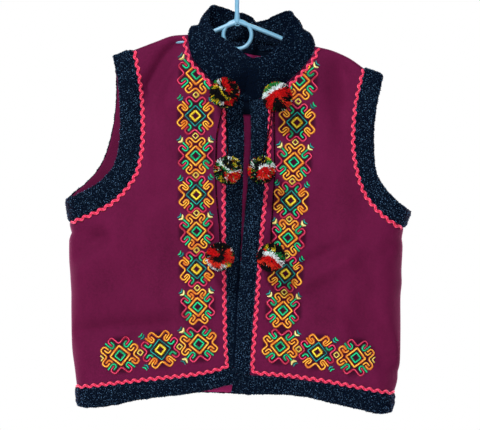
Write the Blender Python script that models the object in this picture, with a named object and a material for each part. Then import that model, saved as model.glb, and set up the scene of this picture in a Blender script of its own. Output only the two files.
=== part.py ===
"""Embroidered folk vest, hooked at its collar and hung on a plastic hanger.

Metres, +Z up.  X runs to the right of someone who faces the vest's front, and the
front faces -Y.  The origin is the inside top of the hanger's hook.  Sides are the
wearer's: the right front hangs at -X and the left front at +X.

Every panel is first drawn flat as a pattern in millimetres (x, z), then hung: a depth
function rounds it over the hanger and at the side seams and adds its folds.  Plush
bands and ric-rac are made from the points of the panel that they are sewn to.
"""
import math

import bmesh
import bpy
from mathutils import Vector
from mathutils.bvhtree import BVHTree

MM = 0.001

# ---- driving sizes, in millimetres -------------------------------------------------
CLOTH_WALL = 2.0         # felted cloth with its lining
SEAM_GAP = 0.3           # between neighbours at a seam
BAND_EDGE = 2.4          # height of a plush band at its edges
BAND_CROWN = 4.0         # and along its middle
COLLAR_WALL = 4.0        # plush on both sides
FRONT_DEPTH = 24.0       # how far the fronts hang before the hanger's plane
BACK_DEPTH = 18.0
TOP_ROUND = 8.0          # the shoulder's roll over the hanger's arm
FALL_LENGTH = 220.0      # the cloth reaches its full depth this far below the shoulder
SIDE_ROUND = 36.0        # width of the roll at a side seam
LAP_LIFT = 9.0           # the left front stands this much proud where it laps the right
RECESS = 13.0            # the front bands turn in this far where the collar is hooked
RICRAC_HALF = 2.6        # half the braid's own width
RICRAC_SWING = 1.5       # half the sideways travel of its wave
RICRAC_STEP = 5.85       # half a wave
RICRAC_CLEAR = 0.35       # its underside above the cloth
RICRAC_HEIGHT = 2.1
RICRAC_INSET = 4.5       # from a band's edge to the braid's middle
CORD_RADIUS = 1.0
POMPOM_CORE = 0.70       # core radius as a share of the whole ball
LOCK_TAPER = 0.75        # a lock's cut end against its root
LOCKS_PER_POMPOM = 40
CORD_SPACING = 5.0       # between the points of a cord's route
HANGER_RADIUS = 3.3
RING_RADIUS = 2.9
HOOK_BEND = 23.3         # radius of the hook's centre line
RING_BEND = 20.2         # radius of the accessory ring's centre line

# ---- the flat pattern --------------------------------------------------------------
# Each line is a few (x, z) points, joined by a smooth curve.
PATTERN = {
    # wearer's right front
    "right_side": [(-233, -618), (-236, -593), (-240, -560), (-241, -505), (-243, -440), (-242, -400),
                   (-243, -381)],
    "right_underarm": [(-243, -381), (-247, -349)],
    "right_armhole": [(-247, -349), (-227, -341), (-203, -328), (-186, -312), (-176, -296), (-170, -270),
                      (-169, -220), (-173, -175), (-180, -144)],
    "right_armhole_seam": [(-243, -381), (-224, -374), (-199, -363), (-176, -348), (-155, -324),
                           (-144, -300), (-139, -265), (-140, -220), (-145, -170), (-152, -134)],
    "right_shoulder": [(-152, -134), (-139, -129), (-118, -121), (-96, -113), (-73, -111)],
    "right_shoulder_tip": [(-180, -144), (-152, -134)],
    "right_neck": [(-18, -200), (-30, -188), (-41, -176), (-54, -162), (-65, -148), (-71, -130),
                   (-73, -111)],
    "right_front_seam": [(-13, -591), (-16, -560), (-17, -480), (-18, -400), (-18, -300), (-18, -200)],
    "right_front_edge": [(12, -588), (9, -536), (6, -480), (4, -440), (5.2, -405), (7.5, -340),
                         (10, -268), (9, -232), (7.5, -209)],
    "right_hem_seam": [(-233, -618), (-183, -613), (-140, -609), (-83, -604), (-45, -599), (-13, -591)],
    "right_hem": [(-231, -644), (-215, -645), (-180, -642), (-140, -636), (-83, -629), (-45, -623),
                  (-10, -614)],
    # wearer's left front
    "left_side": [(222, -628), (227, -612), (231, -585), (233, -540), (234, -480), (235, -420), (236, -390)],
    "left_underarm": [(236, -390), (246, -366)],
    "left_armhole": [(246, -366), (228, -352), (214, -338), (202, -321), (196, -300), (193, -265),
                     (195, -225), (201, -195), (207, -171)],
    "left_armhole_seam": [(236, -390), (217, -377), (200, -362), (184, -341), (173, -312), (167, -275),
                          (168, -235), (174, -195), (182, -160)],
    "left_shoulder": [(182, -160), (170, -151), (157, -143), (136, -134), (112, -128)],
    "left_shoulder_tip": [(207, -171), (182, -160)],
    "left_neck": [(44, -202), (56, -194), (69, -184), (83, -171), (97, -156), (107, -142), (112, -128)],
    "left_front_seam": [(17, -600), (19, -560), (23, -500), (27, -450), (32, -390), (38, -330),
                        (42, -270), (44, -202)],
    "left_front_edge": [(-5, -598), (-3, -550), (0, -490), (3, -440), (5.8, -407), (11, -350),
                        (17, -280), (17.5, -232), (15.5, -209)],
    "left_hem_seam": [(222, -628), (190, -623), (150, -616), (110, -610), (60, -604), (17, -600)],
    "left_hem": [(218, -653), (200, -654), (170, -649), (130, -640), (90, -631), (50, -627), (12, -626)],
    # back
    "back_armhole_right": [(-247, -349), (-222, -325), (-204, -303), (-191, -279), (-182, -245),
                           (-177, -205), (-177, -170), (-180, -144)],
    "back_seam_right": [(-243, -381), (-219, -362), (-192, -337), (-171, -308), (-158, -275),
                        (-150, -235), (-148, -190), (-152, -134)],
    "back_armhole_left": [(246, -366), (229, -349), (213, -331), (200, -309), (192, -284), (189, -250),
                          (193, -210), (207, -171)],
    "back_seam_left": [(236, -390), (213, -373), (190, -352), (173, -325), (162, -290), (159, -245),
                       (165, -200), (182, -160)],
    "back_neck": [(-73, -111), (-55, -121), (-25, -130), (15, -134), (55, -134), (88, -131), (112, -128)],
    "back_hem_seam": [(-233, -618), (-180, -611), (-120, -605), (-60, -602), (0, -601), (70, -602),
                      (130, -608), (180, -617), (222, -628)],
    "back_hem": [(-231, -644), (-180, -638), (-120, -631), (-60, -628), (0, -628), (70, -629),
                 (130, -635), (180, -643), (218, -653)],
}

# ---- folds: a ridge (height above 0) or trough along a line from (x0, z0) to (x1, z1)
#        x0    z0    x1    z1  half-width  height
FRONT_FOLDS = [
    (-92, -126, -132, -210, 18, -8.0),     # right shoulder, from the neck down to the armhole
    (-78, -160, -108, -245, 22, 3.0),
    (-243, -398, -204, -404, 14, -7.0),    # pinch below the right underarm
    (-240, -455, -180, -402, 18, 7.5),
    (-236, -538, -100, -528, 19, -6.0),    # soft roll above the right hem
    (-236, -570, -170, -562, 17, 3.5),
    (-112, -300, -120, -400, 28, 4.0),
    (140, -168, 148, -230, 16, -8.0),      # left shoulder
    (112, -185, 132, -300, 24, 4.0),
    (176, -354, 164, -405, 18, -6.0),
    (95, -466, 152, -432, 14, 7.5),        # the diagonal ridge beside the lower pompom
    (95, -496, 140, -474, 15, -4.0),
    (151, -400, 152, -545, 17, 5.0),
    (172, -482, 222, -576, 20, -10.0),     # the deep fold at the left side
    (198, -420, 214, -500, 18, 4.0),
    (200, -602, 226, -588, 15, 5.0),
]
BACK_FOLDS = [
    (-95, -132, -150, -230, 21, -6.0),
    (130, -152, 160, -245, 21, -6.5),
    (-236, -402, -165, -445, 19, 6.5),
    (232, -412, 160, -460, 19, 7.0),
    (-150, -420, -135, -590, 25, -6.0),
    (-40, -330, -55, -600, 30, 5.0),
    (50, -300, 62, -610, 27, -5.0),
    (140, -440, 150, -600, 25, 6.0),
    (-90, -235, 100, -245, 25, -3.5),
]
# Round swells: (x, z, half-width, half-height, height).  The neck is held open by its collar.
FRONT_SWELLS = [(15, -195, 75, 60, 6.0), (15, -300, 90, 90, 2.0)]
BACK_SWELLS = [(15, -134, 80, 50, 8.0), (0, -290, 150, 90, 3.0)]

# ---- collar: its top edge, as a row for each section round the neck ------------------
#   turn: share of the neckline from the right front's edge round the back to the left's
#   turn    x     y     z
COLLAR_TOP = [
    (0.00, 22.6, -34, -150),
    (0.06, 9, -34, -143),
    (0.12, -6, -33, -131),
    (0.18, -21, -30, -120),
    (0.23, -34, -23, -111),
    (0.28, -41, -10, -93),
    (0.32, -38, 4, -71),
    (0.38, -23, 18, -71),
    (0.44, -5, 24, -78),
    (0.50, 14, 26, -82),
    (0.56, 35, 25, -86),
    (0.62, 55, 18, -80),
    (0.68, 72, 7, -75),
    (0.72, 77, -5, -84),
    (0.77, 72, -17, -104),
    (0.82, 66, -26, -120),
    (0.88, 56, -31, -134),
    (0.94, 42, -34, -144),
    (1.00, 24.2, -34, -149),
]
COLLAR_BULGE = 8.0
NECK_CENTRE = Vector((18, -3, -130))

# ---- pompoms and cords ---------------------------------------------------------------
#   name                      x      y      z    radius
POMPOMS = [
    ("pompom_right_neck", -19, -47.9, -198, 21.0),
    ("pompom_left_neck", 56, -46.3, -204, 21.0),
    ("pompom_right_middle", -14.5, -49.8, -308, 20.0),
    ("pompom_left_middle", 33.5, -49.5, -308, 19.5),
    ("pompom_right_low", -25.5, -44.3, -431, 20.0),
    ("pompom_left_low", 47, -49.2, -432, 20.0),
]
# A cord's route, (x, y, z) by hand: out from under the pompom above, down the cloth, and
# into the top of the one that hangs on it.
CORDS = {
    "cord_right_long": [(-21.5, -28.4, -214), (-24, -28.0, -228), (-27.5, -27.4, -243),
                        (-30.5, -26.6, -260), (-31.5, -26.9, -285), (-32, -27.1, -308),
                        (-31.5, -27.0, -335), (-29.5, -26.2, -360), (-27, -25.0, -385),
                        (-25.8, -27.4, -403), (-25.5, -32.6, -413.2)],
    "cord_right_short": [(-17, -28.6, -215), (-16.5, -29.2, -235), (-16, -29.6, -255),
                         (-15.5, -30.2, -274), (-15.2, -31.8, -283), (-15, -36.0, -290.7)],
    "cord_left_long": [(52, -26.8, -221), (51.5, -27.2, -236), (51.5, -27.6, -256),
                       (52, -27.2, -280), (52.5, -27.1, -308), (51.5, -27.2, -335),
                       (49.5, -28.1, -365), (47.8, -29.3, -388), (47.2, -31.4, -404),
                       (47, -37.0, -414.2)],
    "cord_left_short": [(48, -28.2, -222), (46.3, -28.4, -238), (43.5, -29.0, -256),
                        (39, -29.9, -272), (36.8, -31.9, -282), (35, -36.6, -290.6)],
}

# ---- the hanger ----------------------------------------------------------------------
HOOK_TOP_Z = HANGER_RADIUS            # centre line at the top: the inside top is the origin
JUNCTION = (0.0, -92.0)
RING_CENTRE = (-0.7, -111.5)
RIGHT_ARM = [(0, -92), (-20, -100), (-38, -107.5), (-70, -119.5), (-96, -122), (-123, -129.4),
             (-139, -135.2), (-152, -140.1), (-172, -147)]
LEFT_ARM = [(0, -92), (35, -105), (62, -116.3), (85, -127), (104, -136), (120, -141), (140, -144.5),
            (157, -150.3), (170, -159.8)]

COLOURS = {
    #            red    green  blue   roughness
    "cloth": (0.130, 0.011, 0.051, 0.75),
    "plush": (0.008, 0.014, 0.028, 0.95),
    "ricrac": (0.820, 0.065, 0.130, 0.60),
    "pompom": (0.600, 0.030, 0.020, 0.90),
    "cord": (0.030, 0.006, 0.008, 0.80),
    "hanger": (0.180, 0.370, 0.510, 0.35),
}


# ---- small helpers -------------------------------------------------------------------
def clear_scene():
    for item in list(bpy.data.objects):
        bpy.data.objects.remove(item, do_unlink=True)


def make_materials():
    made = {}
    for name, (red, green, blue, roughness) in COLOURS.items():
        material = bpy.data.materials.new(name)
        material.use_nodes = True
        shader = material.node_tree.nodes["Principled BSDF"]
        shader.inputs["Base Color"].default_value = (red, green, blue, 1.0)
        shader.inputs["Roughness"].default_value = roughness
        shader.inputs["Metallic"].default_value = 0.0
        made[name] = material
    return made


def smooth_through(points, per_span=8):
    """Catmull-Rom curve through the points, as a finely divided line."""
    points = [Vector(p) for p in points]
    if len(points) == 2:
        return points
    before = points[0] * 2 - points[1]
    after = points[-1] * 2 - points[-2]
    chain = [before] + points + [after]
    line = []
    for i in range(1, len(chain) - 2):
        a, b, c, d = chain[i - 1:i + 3]
        for step in range(per_span):
            t = step / per_span
            line.append(0.5 * (2 * b + (c - a) * t + (2 * a - 5 * b + 4 * c - d) * t * t
                               + (3 * b - a - 3 * c + d) * t ** 3))
    line.append(points[-1])
    return line


def line_length(line):
    return sum((b - a).length for a, b in zip(line, line[1:]))


def point_along(line, distance):
    """The point at this distance along a line, and the direction there."""
    for a, b in zip(line, line[1:]):
        span = (b - a).length
        if distance <= span:
            return a.lerp(b, max(distance, 0.0) / span), (b - a).normalized()
        distance -= span
    return line[-1].copy(), (line[-1] - line[-2]).normalized()


def divide(line, count, fine_start=(), fine_end=()):
    """count + 1 points on a line: even spans, with fine ones at the given distances."""
    length = line_length(line)
    stops = [0.0] + list(fine_start)
    last = length - (fine_end[-1] if fine_end else 0.0)
    even = count - len(fine_start) - len(fine_end)
    first = stops[-1]
    stops += [first + (last - first) * k / even for k in range(1, even + 1)]
    stops += [length - gap for gap in reversed((0.0,) + tuple(fine_end[:-1]))] if fine_end else []
    return [point_along(line, stop)[0] for stop in stops]


def pattern(name):
    return smooth_through(PATTERN[name])


def height_at(line, x):
    """z of a line that runs one way in x, held level past its ends."""
    ordered = sorted(line, key=lambda p: p[0])
    if x <= ordered[0][0]:
        return ordered[0][1]
    for a, b in zip(ordered, ordered[1:]):
        if x <= b[0]:
            return a[1] + (b[1] - a[1]) * (x - a[0]) / max(b[0] - a[0], 1e-6)
    return ordered[-1][1]


def width_at(line, z):
    """x of a line that runs one way in z, held straight past its ends."""
    return height_at([Vector((p[1], p[0])) for p in line], z)


# ---- the hang of the cloth -----------------------------------------------------------
SHOULDER_LINE = (pattern("right_shoulder_tip") + pattern("right_shoulder")
                 + pattern("left_shoulder") + pattern("left_shoulder_tip"))
RIGHT_OUTLINE = pattern("right_side") + pattern("right_underarm")
LEFT_OUTLINE = pattern("left_side") + pattern("left_underarm")


def quarter_round(share):
    share = min(max(share, 0.0), 1.0)
    return math.sqrt(max(1 - (1 - share) ** 2, 0.0))


def ease(share):
    share = min(max(share, 0.0), 1.0)
    return share * share * (3 - 2 * share)


def fold_height(folds, x, z):
    """Soft ridges and troughs: each fades out across its width and towards its ends."""
    total = 0.0
    for x0, z0, x1, z1, half_width, height in folds:
        run_x, run_z = x1 - x0, z1 - z0
        run = math.hypot(run_x, run_z)
        along = ((x - x0) * run_x + (z - z0) * run_z) / run
        across = ((x - x0) * run_z - (z - z0) * run_x) / run
        past = max(-along, along - run, 0.0)
        total += height * math.exp(-(across / half_width) ** 2 - (past / (1.4 * half_width)) ** 2)
    return total


def swell_height(swells, x, z):
    return sum(height * math.exp(-((x - sx) / wide) ** 2 - ((z - sz) / high) ** 2)
               for sx, sz, wide, high, height in swells)


def hang_depth(x, z, full_depth, folds, swells):
    """How far the cloth hangs from the hanger's plane at a point of the pattern."""
    fall = height_at(SHOULDER_LINE, x) - z
    depth = TOP_ROUND * quarter_round(fall / TOP_ROUND)
    slack = 1 - (1 - min(max(fall / FALL_LENGTH, 0.0), 1.0)) ** 2
    depth += (full_depth - TOP_ROUND) * slack
    loose = min(max(fall / 60.0, 0.0), 1.0)
    depth += loose * fold_height(folds, x, z) + min(fall / 12.0, 1.0) * swell_height(swells, x, z)
    from_side = min(x - width_at(RIGHT_OUTLINE, z), width_at(LEFT_OUTLINE, z) - x)
    return max(depth, 0.0) * quarter_round(from_side / SIDE_ROUND)


def front_depth(x, z, is_left):
    depth = hang_depth(x, z, FRONT_DEPTH, FRONT_FOLDS, FRONT_SWELLS)
    lap = ease((-335.0 - z) / 75.0) * ease((90.0 - x) / 70.0) if is_left else \
        ease((-335.0 - z) / 75.0) * ease((x + 70.0) / 70.0)
    return depth + lap * (LAP_LIFT * 0.65 if is_left else -LAP_LIFT * 0.35)


def back_depth(x, z):
    return hang_depth(x, z, BACK_DEPTH, BACK_FOLDS, BACK_SWELLS)


def halves(face, points):
    """A face's triangles, split across its shorter diagonal."""
    if len(face) == 3:
        return [face]
    a, b, c, d = face
    if (points[a] - points[c]).length < (points[b] - points[d]).length:
        return [[a, b, c], [a, c, d]]
    return [[a, b, d], [b, c, d]]


# ---- sheets: a panel's outer face, in zones ------------------------------------------
class Sheet:
    """Points on a panel's outer face and the faces between them, kept by zone."""

    def __init__(self, depth_at, facing):
        self.depth_at = depth_at
        self.facing = facing            # -1 for a front, +1 for the back
        self.points = []
        self.plan = []
        self.normals = []
        self.zones = {}
        self.index = {}
        self.folded = set()             # points on a side or shoulder seam

    def add(self, plan, inset=0.0, folded=False):
        key = (round(plan[0], 3), round(plan[1], 3))
        if key not in self.index:
            depth = 0.0 if folded else self.depth_at(plan[0], plan[1]) - inset
            self.index[key] = len(self.points)
            self.points.append(Vector((plan[0], self.facing * (depth + SEAM_GAP / 2), plan[1])))
            self.plan.append(Vector(plan))
        if folded:
            self.folded.add(self.index[key])
        return self.index[key]

    def zone(self, name, rows):
        """Faces between rows of point numbers."""
        faces = self.zones.setdefault(name, [])
        for low, high in zip(rows, rows[1:]):
            for k in range(len(low) - 1):
                corners = [low[k], low[k + 1], high[k + 1], high[k]]
                corners = [c for i, c in enumerate(corners) if c not in corners[:i]]
                faces.append(corners)

    def finish(self):
        """Turn every face outwards, then take each point's normal from its faces."""
        sums = [Vector((0, 0, 0)) for _ in self.points]
        for name, faces in self.zones.items():
            turned = []
            for face in faces:
                a, b, c = (self.points[face[k]] for k in (0, 1, 2))
                d = self.points[face[-1]]
                normal = (b - a).cross(d - a) + (c - b).cross(d - b)
                plan = [self.plan[k] for k in face]
                area = sum(p[0] * q[1] - q[0] * p[1] for p, q in zip(plan, plan[1:] + plan[:1]))
                # seen from -Y, a front's faces run anticlockwise in (x, z)
                if area * self.facing > 0:
                    face = face[::-1]
                    normal = -normal
                turned.append(face)
                for k in face:
                    sums[k] += normal
            self.zones[name] = [part for face in turned for part in halves(face, self.points)]
        for k in self.folded:
            sums[k][1] = 0.0
        self.normals = [s.normalized() for s in sums]

    def faces(self, *names):
        return [face for name in (names or self.zones) for face in self.zones[name]]


def coons(left, right, bottom, top):
    """A grid of plan points inside four divided sides that share their corners."""
    rows = len(left) - 1
    columns = len(bottom) - 1
    grid = []
    for r in range(rows + 1):
        v = r / rows
        row = []
        for c in range(columns + 1):
            u = c / columns
            # weights follow the sides' own spacing, so fine spans stay fine
            u_low = (bottom[c] - bottom[0]).length / (bottom[-1] - bottom[0]).length
            u_high = (top[c] - top[0]).length / (top[-1] - top[0]).length
            s = u_low * (1 - v) + u_high * v
            ruled_across = left[r] * (1 - s) + right[r] * s
            low = bottom[c] - (bottom[0] * (1 - u_low) + bottom[-1] * u_low)
            high = top[c] - (top[0] * (1 - u_high) + top[-1] * u_high)
            row.append(ruled_across + low * (1 - v) + high * v)
        grid.append(row)
    for r in range(rows + 1):
        grid[r][0], grid[r][-1] = left[r], right[r]
    grid[0], grid[-1] = list(bottom), list(top)
    return grid


def strip(outer, inner, columns):
    """A band's plan points: rows run from the inner line to the outer one."""
    return [[a.lerp(b, k / columns) for k in range(columns + 1)] for a, b in zip(inner, outer)]


SIDE_ROWS = 9
ARM_FINE = (4.0, 12.0, 24.0)
ARM_ROWS = 15
TOP_FINE = (1.2, 4.5, 10.0)
NECK_ROWS = 7
SIDE_FINE = (3.0, 11.0, 23.0)
MAIN_COLUMNS = 10
BAND_COLUMNS = 2


def front_sheet(side):
    """One front: its cloth between the seams, and the zones that the bands cover."""
    is_left = side == "left"
    sheet = Sheet(lambda x, z: front_depth(x, z, is_left), -1)
    side_line = divide(pattern(side + "_side"), SIDE_ROWS)
    arm_seam = divide(pattern(side + "_armhole_seam"), ARM_ROWS, ARM_FINE, TOP_FINE)
    arm_edge = divide(pattern(side + "_armhole"), ARM_ROWS, ARM_FINE, TOP_FINE)
    neck = divide(pattern(side + "_neck"), NECK_ROWS, (), TOP_FINE)
    front_rows = SIDE_ROWS + ARM_ROWS - NECK_ROWS
    front_seam = divide(pattern(side + "_front_seam"), front_rows)
    front_edge = divide(pattern(side + "_front_edge"), front_rows)
    hem_seam = divide(pattern(side + "_hem_seam"), MAIN_COLUMNS, SIDE_FINE)
    hem = divide(pattern(side + "_hem"), MAIN_COLUMNS, SIDE_FINE)
    shoulder = divide(pattern(side + "_shoulder"), MAIN_COLUMNS)

    main = coons(side_line + arm_seam[1:], front_seam + neck[1:], hem_seam, shoulder)
    main_rows = []
    for r, row in enumerate(main):
        numbers = []
        for c, plan in enumerate(row):
            on_side = c == 0 and r <= SIDE_ROWS
            on_shoulder = r == len(main) - 1
            numbers.append(sheet.add(plan, folded=on_side or on_shoulder))
        main_rows.append(numbers)
    sheet.zone("main", main_rows)

    arm_rows = []
    for r, row in enumerate(strip(arm_edge, arm_seam, BAND_COLUMNS)):
        arm_rows.append([sheet.add(plan, folded=r in (0, ARM_ROWS)) for plan in row])
    sheet.zone("armhole", arm_rows)

    front_rows_made = []
    for row in strip(front_edge, front_seam, BAND_COLUMNS):
        turn_in = RECESS * ease((row[-1][1] + 238.0) / 26.0)
        shares = (0.0, 0.25, 1.0)
        front_rows_made.append([sheet.add(plan, inset=turn_in * share)
                                for plan, share in zip(row, shares)])
    sheet.zone("front", front_rows_made)

    hem_rows = strip(hem, hem_seam, BAND_COLUMNS)
    last = [a.lerp(b, k / BAND_COLUMNS) for k, (a, b) in
            enumerate([(front_seam[0], Vector(PATTERN[side + "_hem"][-1]))] * (BAND_COLUMNS + 1))]
    hem_rows[-1] = last
    hem_numbers = [[sheet.add(plan, folded=r == 0) for plan in row] for r, row in enumerate(hem_rows)]
    # the corner under the front band, so that the front edge runs on down to the hem
    corner_outer = [front_edge[0] + (last[k] - last[0]) for k in range(BAND_COLUMNS + 1)]
    corner = []
    for k in range(BAND_COLUMNS + 1):
        corner.append([sheet.add(last[k].lerp(corner_outer[k], c / BAND_COLUMNS))
                       for c in range(BAND_COLUMNS + 1)])
    sheet.zone("hem", hem_numbers)
    sheet.zone("corner", corner)
    sheet.finish()

    neck_edge = front_rows_made[-1][::-1] + [row[-1] for row in main_rows[front_rows + 1:]]
    return sheet, neck_edge


def back_sheet():
    sheet = Sheet(back_depth, 1)
    sides = {}
    for side in ("right", "left"):
        side_line = divide(pattern(side + "_side"), SIDE_ROWS)
        seam = divide(pattern("back_seam_" + side), ARM_ROWS, ARM_FINE, TOP_FINE)
        edge = divide(pattern("back_armhole_" + side), ARM_ROWS, ARM_FINE, TOP_FINE)
        sides[side] = (side_line, seam, edge)
    shoulder_columns, neck_columns = 4, 10
    columns = 2 * shoulder_columns + neck_columns
    top = (divide(pattern("right_shoulder"), shoulder_columns)
           + divide(pattern("back_neck"), neck_columns, (2.5, 8.0), (2.5, 8.0))[1:]
           + divide(pattern("left_shoulder"), shoulder_columns)[::-1][1:])
    hem_seam = divide(pattern("back_hem_seam"), columns, SIDE_FINE, SIDE_FINE)
    hem = divide(pattern("back_hem"), columns, SIDE_FINE, SIDE_FINE)
    main = coons(sides["right"][0] + sides["right"][1][1:], sides["left"][0] + sides["left"][1][1:],
                 hem_seam, top)
    neck_span = range(shoulder_columns + 1, shoulder_columns + neck_columns)
    main_rows = []
    for r, row in enumerate(main):
        numbers = []
        for c, plan in enumerate(row):
            on_side = c in (0, columns) and r <= SIDE_ROWS
            on_shoulder = r == len(main) - 1 and c not in neck_span
            numbers.append(sheet.add(plan, folded=on_side or on_shoulder))
        main_rows.append(numbers)
    sheet.zone("main", main_rows)
    for side in ("right", "left"):
        rows = [[sheet.add(plan, folded=r in (0, ARM_ROWS)) for plan in row]
                for r, row in enumerate(strip(sides[side][2], sides[side][1], BAND_COLUMNS))]
        sheet.zone("armhole_" + side, rows)
    rows = [[sheet.add(plan, folded=r in (0, columns)) for plan in row]
            for r, row in enumerate(strip(hem, hem_seam, BAND_COLUMNS))]
    sheet.zone("hem", rows)
    sheet.finish()
    neck_edge = main_rows[-1][shoulder_columns:shoulder_columns + neck_columns + 1]
    return sheet, neck_edge


# ---- solids --------------------------------------------------------------------------
def solid(name, points, faces, material, collection):
    mesh = bpy.data.meshes.new(name)
    mesh.from_pydata([p * MM for p in points], [], faces)
    mesh.validate()
    mesh.materials.append(material)
    mesh.shade_smooth()
    item = bpy.data.objects.new(name, mesh)
    collection.objects.link(item)
    return item


def thicken(points, normals, faces, low, high, trim=0.0):
    """A closed wall on some faces of a sheet, from low to high along its normals.

    high is one height, or a pair: at the wall's own edges and in its middle.
    trim draws the wall's edges in by that much.
    """
    used = sorted({k for face in faces for k in face})
    place = {k: i for i, k in enumerate(used)}
    directed = {}
    for face in faces:
        for a, b in zip(face, face[1:] + face[:1]):
            directed[(a, b)] = True
    rim = [(a, b) for a, b in directed if (b, a) not in directed]
    rim_points = {k for edge in rim for k in edge}
    drawn_in = {k: Vector((0, 0, 0)) for k in used}
    for a, b in rim:
        along = (points[b] - points[a]).normalized()
        for k in (a, b):
            drawn_in[k] += normals[k].cross(along) * trim
    edge_high, middle_high = high if isinstance(high, tuple) else (high, high)
    under = [points[k] + drawn_in[k] + normals[k] * low for k in used]
    over = [points[k] + drawn_in[k] + normals[k] * (edge_high if k in rim_points else middle_high)
            for k in used]
    shift = len(used)
    built = [[place[k] + shift for k in face] for face in faces]
    built += [[place[k] for k in reversed(face)] for face in faces]
    built += [[place[b], place[b] + shift, place[a] + shift, place[a]] for a, b in rim]
    return under + over, built


def make_panel(name, sheet, material, collection):
    points, faces = thicken(sheet.points, sheet.normals, sheet.faces(), -CLOTH_WALL, 0.0)
    return solid(name, points, faces, material, collection)


def make_band(name, sheet, zones, material, collection):
    points, faces = thicken(sheet.points, sheet.normals, sheet.faces(*zones), SEAM_GAP,
                            (BAND_EDGE, BAND_CROWN), SEAM_GAP / 3)
    return solid(name, points, faces, material, collection)


def offset_line(line, inset):
    """A plan line moved sideways: to the left of its own direction when inset is above 0."""
    moved = []
    length = line_length(line)
    count = max(int(length / 2.0), 2)
    for k in range(count + 1):
        spot, direction = point_along(line, length * k / count)
        moved.append(spot + Vector((-direction[1], direction[0])) * inset)
    return moved


def make_ricrac(name, sheet, plan_line, material, collection, trim=(3.0, 3.0)):
    """Braid that waves along a plan line on a sheet: a ridge of three sides."""
    tree = BVHTree.FromPolygons(sheet.points, sheet.faces())
    toward = Vector((0, -sheet.facing, 0))

    def surface(plan):
        return tree.ray_cast(Vector((plan[0], sheet.facing * 200.0, plan[1])), toward)[0]

    length = line_length(plan_line) - trim[0] - trim[1]
    count = max(int(length / RICRAC_STEP), 2)
    rings = []
    for k in range(count + 1):
        spot, direction = point_along(plan_line, trim[0] + length * k / count)
        across = Vector((-direction[1], direction[0]))
        middle = spot + across * (RICRAC_SWING if k % 2 else -RICRAC_SWING)
        ring = []
        for shift, height in ((-RICRAC_HALF, RICRAC_CLEAR), (RICRAC_HALF, RICRAC_CLEAR),
                              (0.0, RICRAC_HEIGHT)):
            plan = middle + across * shift
            hits = [surface(plan + direction * reach + across * aside)
                    for reach in (-5.0, -2.5, 0.0, 2.5, 5.0) for aside in (-1.5, 0.0, 1.5)]
            if surface(plan) is None:
                break
            proud = max(hit[1] * sheet.facing for hit in hits if hit)
            ring.append(Vector((plan[0], sheet.facing * (proud + height), plan[1])))
        if len(ring) == 3:
            rings.append(ring)
    points = [p for ring in rings for p in ring]
    faces = []
    for k in range(len(rings) - 1):
        a, b = 3 * k, 3 * k + 3
        for i in range(3):
            j = (i + 1) % 3
            faces.append([a + i, a + j, b + j, b + i])
    faces.append([2, 1, 0])
    last = 3 * (len(rings) - 1)
    faces.append([last, last + 1, last + 2])
    item = solid(name, points, faces, material, collection)
    turn_outward(item.data)
    return item


def turn_outward(mesh):
    work = bmesh.new()
    work.from_mesh(mesh)
    if work.calc_volume(signed=True) < 0:
        bmesh.ops.reverse_faces(work, faces=work.faces)
    work.to_mesh(mesh)
    work.free()


def make_collar(edges, material, collection):
    """The stand collar: a wall from the necklines up to its own top edge."""
    spots, normals = [], []
    for sheet, numbers in edges:
        for k in numbers:
            if spots and (sheet.points[k] - spots[-1]).length < 1.0:
                continue
            spots.append(sheet.points[k])
            normals.append(sheet.normals[k])
    run = [0.0]
    for a, b in zip(spots, spots[1:]):
        run.append(run[-1] + (b - a).length)
    top_line = smooth_through([Vector(row[1:]) for row in COLLAR_TOP], 6)
    turn_line = smooth_through([Vector((row[0], 0)) for row in COLLAR_TOP], 6)
    turns = [p[0] for p in turn_line]
    rows = 5
    points, columns = [], len(spots)
    base_normals = []
    for k, spot in enumerate(spots):
        turn = run[k] / run[-1]
        i = max(j for j in range(len(turns) - 1) if turns[j] <= turn + 1e-9)
        share = (turn - turns[i]) / (turns[i + 1] - turns[i])
        top = top_line[i].lerp(top_line[i + 1], min(share, 1.0))
        ahead = spots[min(k + 1, columns - 1)] - spots[max(k - 1, 0)]
        into_neck = ahead.cross(normals[k]).normalized()
        if into_neck.dot(top - spot) < 0:
            into_neck = -into_neck
        base = spot + into_neck * SEAM_GAP * 2 + normals[k] * 1.0
        from_middle = spot - NECK_CENTRE
        outwards = Vector((from_middle[0], 1.6 * from_middle[1], 0)).normalized()
        swing = (base + top) / 2 + (outwards + Vector((0, 0, -0.3))) * COLLAR_BULGE
        base_normals.append(normals[k])
        for r in range(rows + 1):
            t = r / rows
            points.append(base * (1 - t) ** 2 + swing * 2 * t * (1 - t) + top * t * t)
    faces = []
    for k in range(columns - 1):
        for r in range(rows):
            a = k * (rows + 1) + r
            faces.append([a, a + rows + 1, a + rows + 2, a + 1])
    sums = [Vector((0, 0, 0)) for _ in points]
    for face in faces:
        a, b, c, d = (points[i] for i in face)
        normal = (c - a).cross(d - b)
        for i in face:
            sums[i] += normal
    outward = [s.normalized() for s in sums]
    if sum(n.dot(p - NECK_CENTRE) for n, p in zip(outward, points)) < 0:
        outward = [-n for n in outward]
        faces = [face[::-1] for face in faces]
    for k in range(columns):
        outward[k * (rows + 1)] = base_normals[k]
    body, built = thicken(points, outward, faces, -COLLAR_WALL, 0.0)
    return solid("collar", body, built, material, collection)


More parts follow.
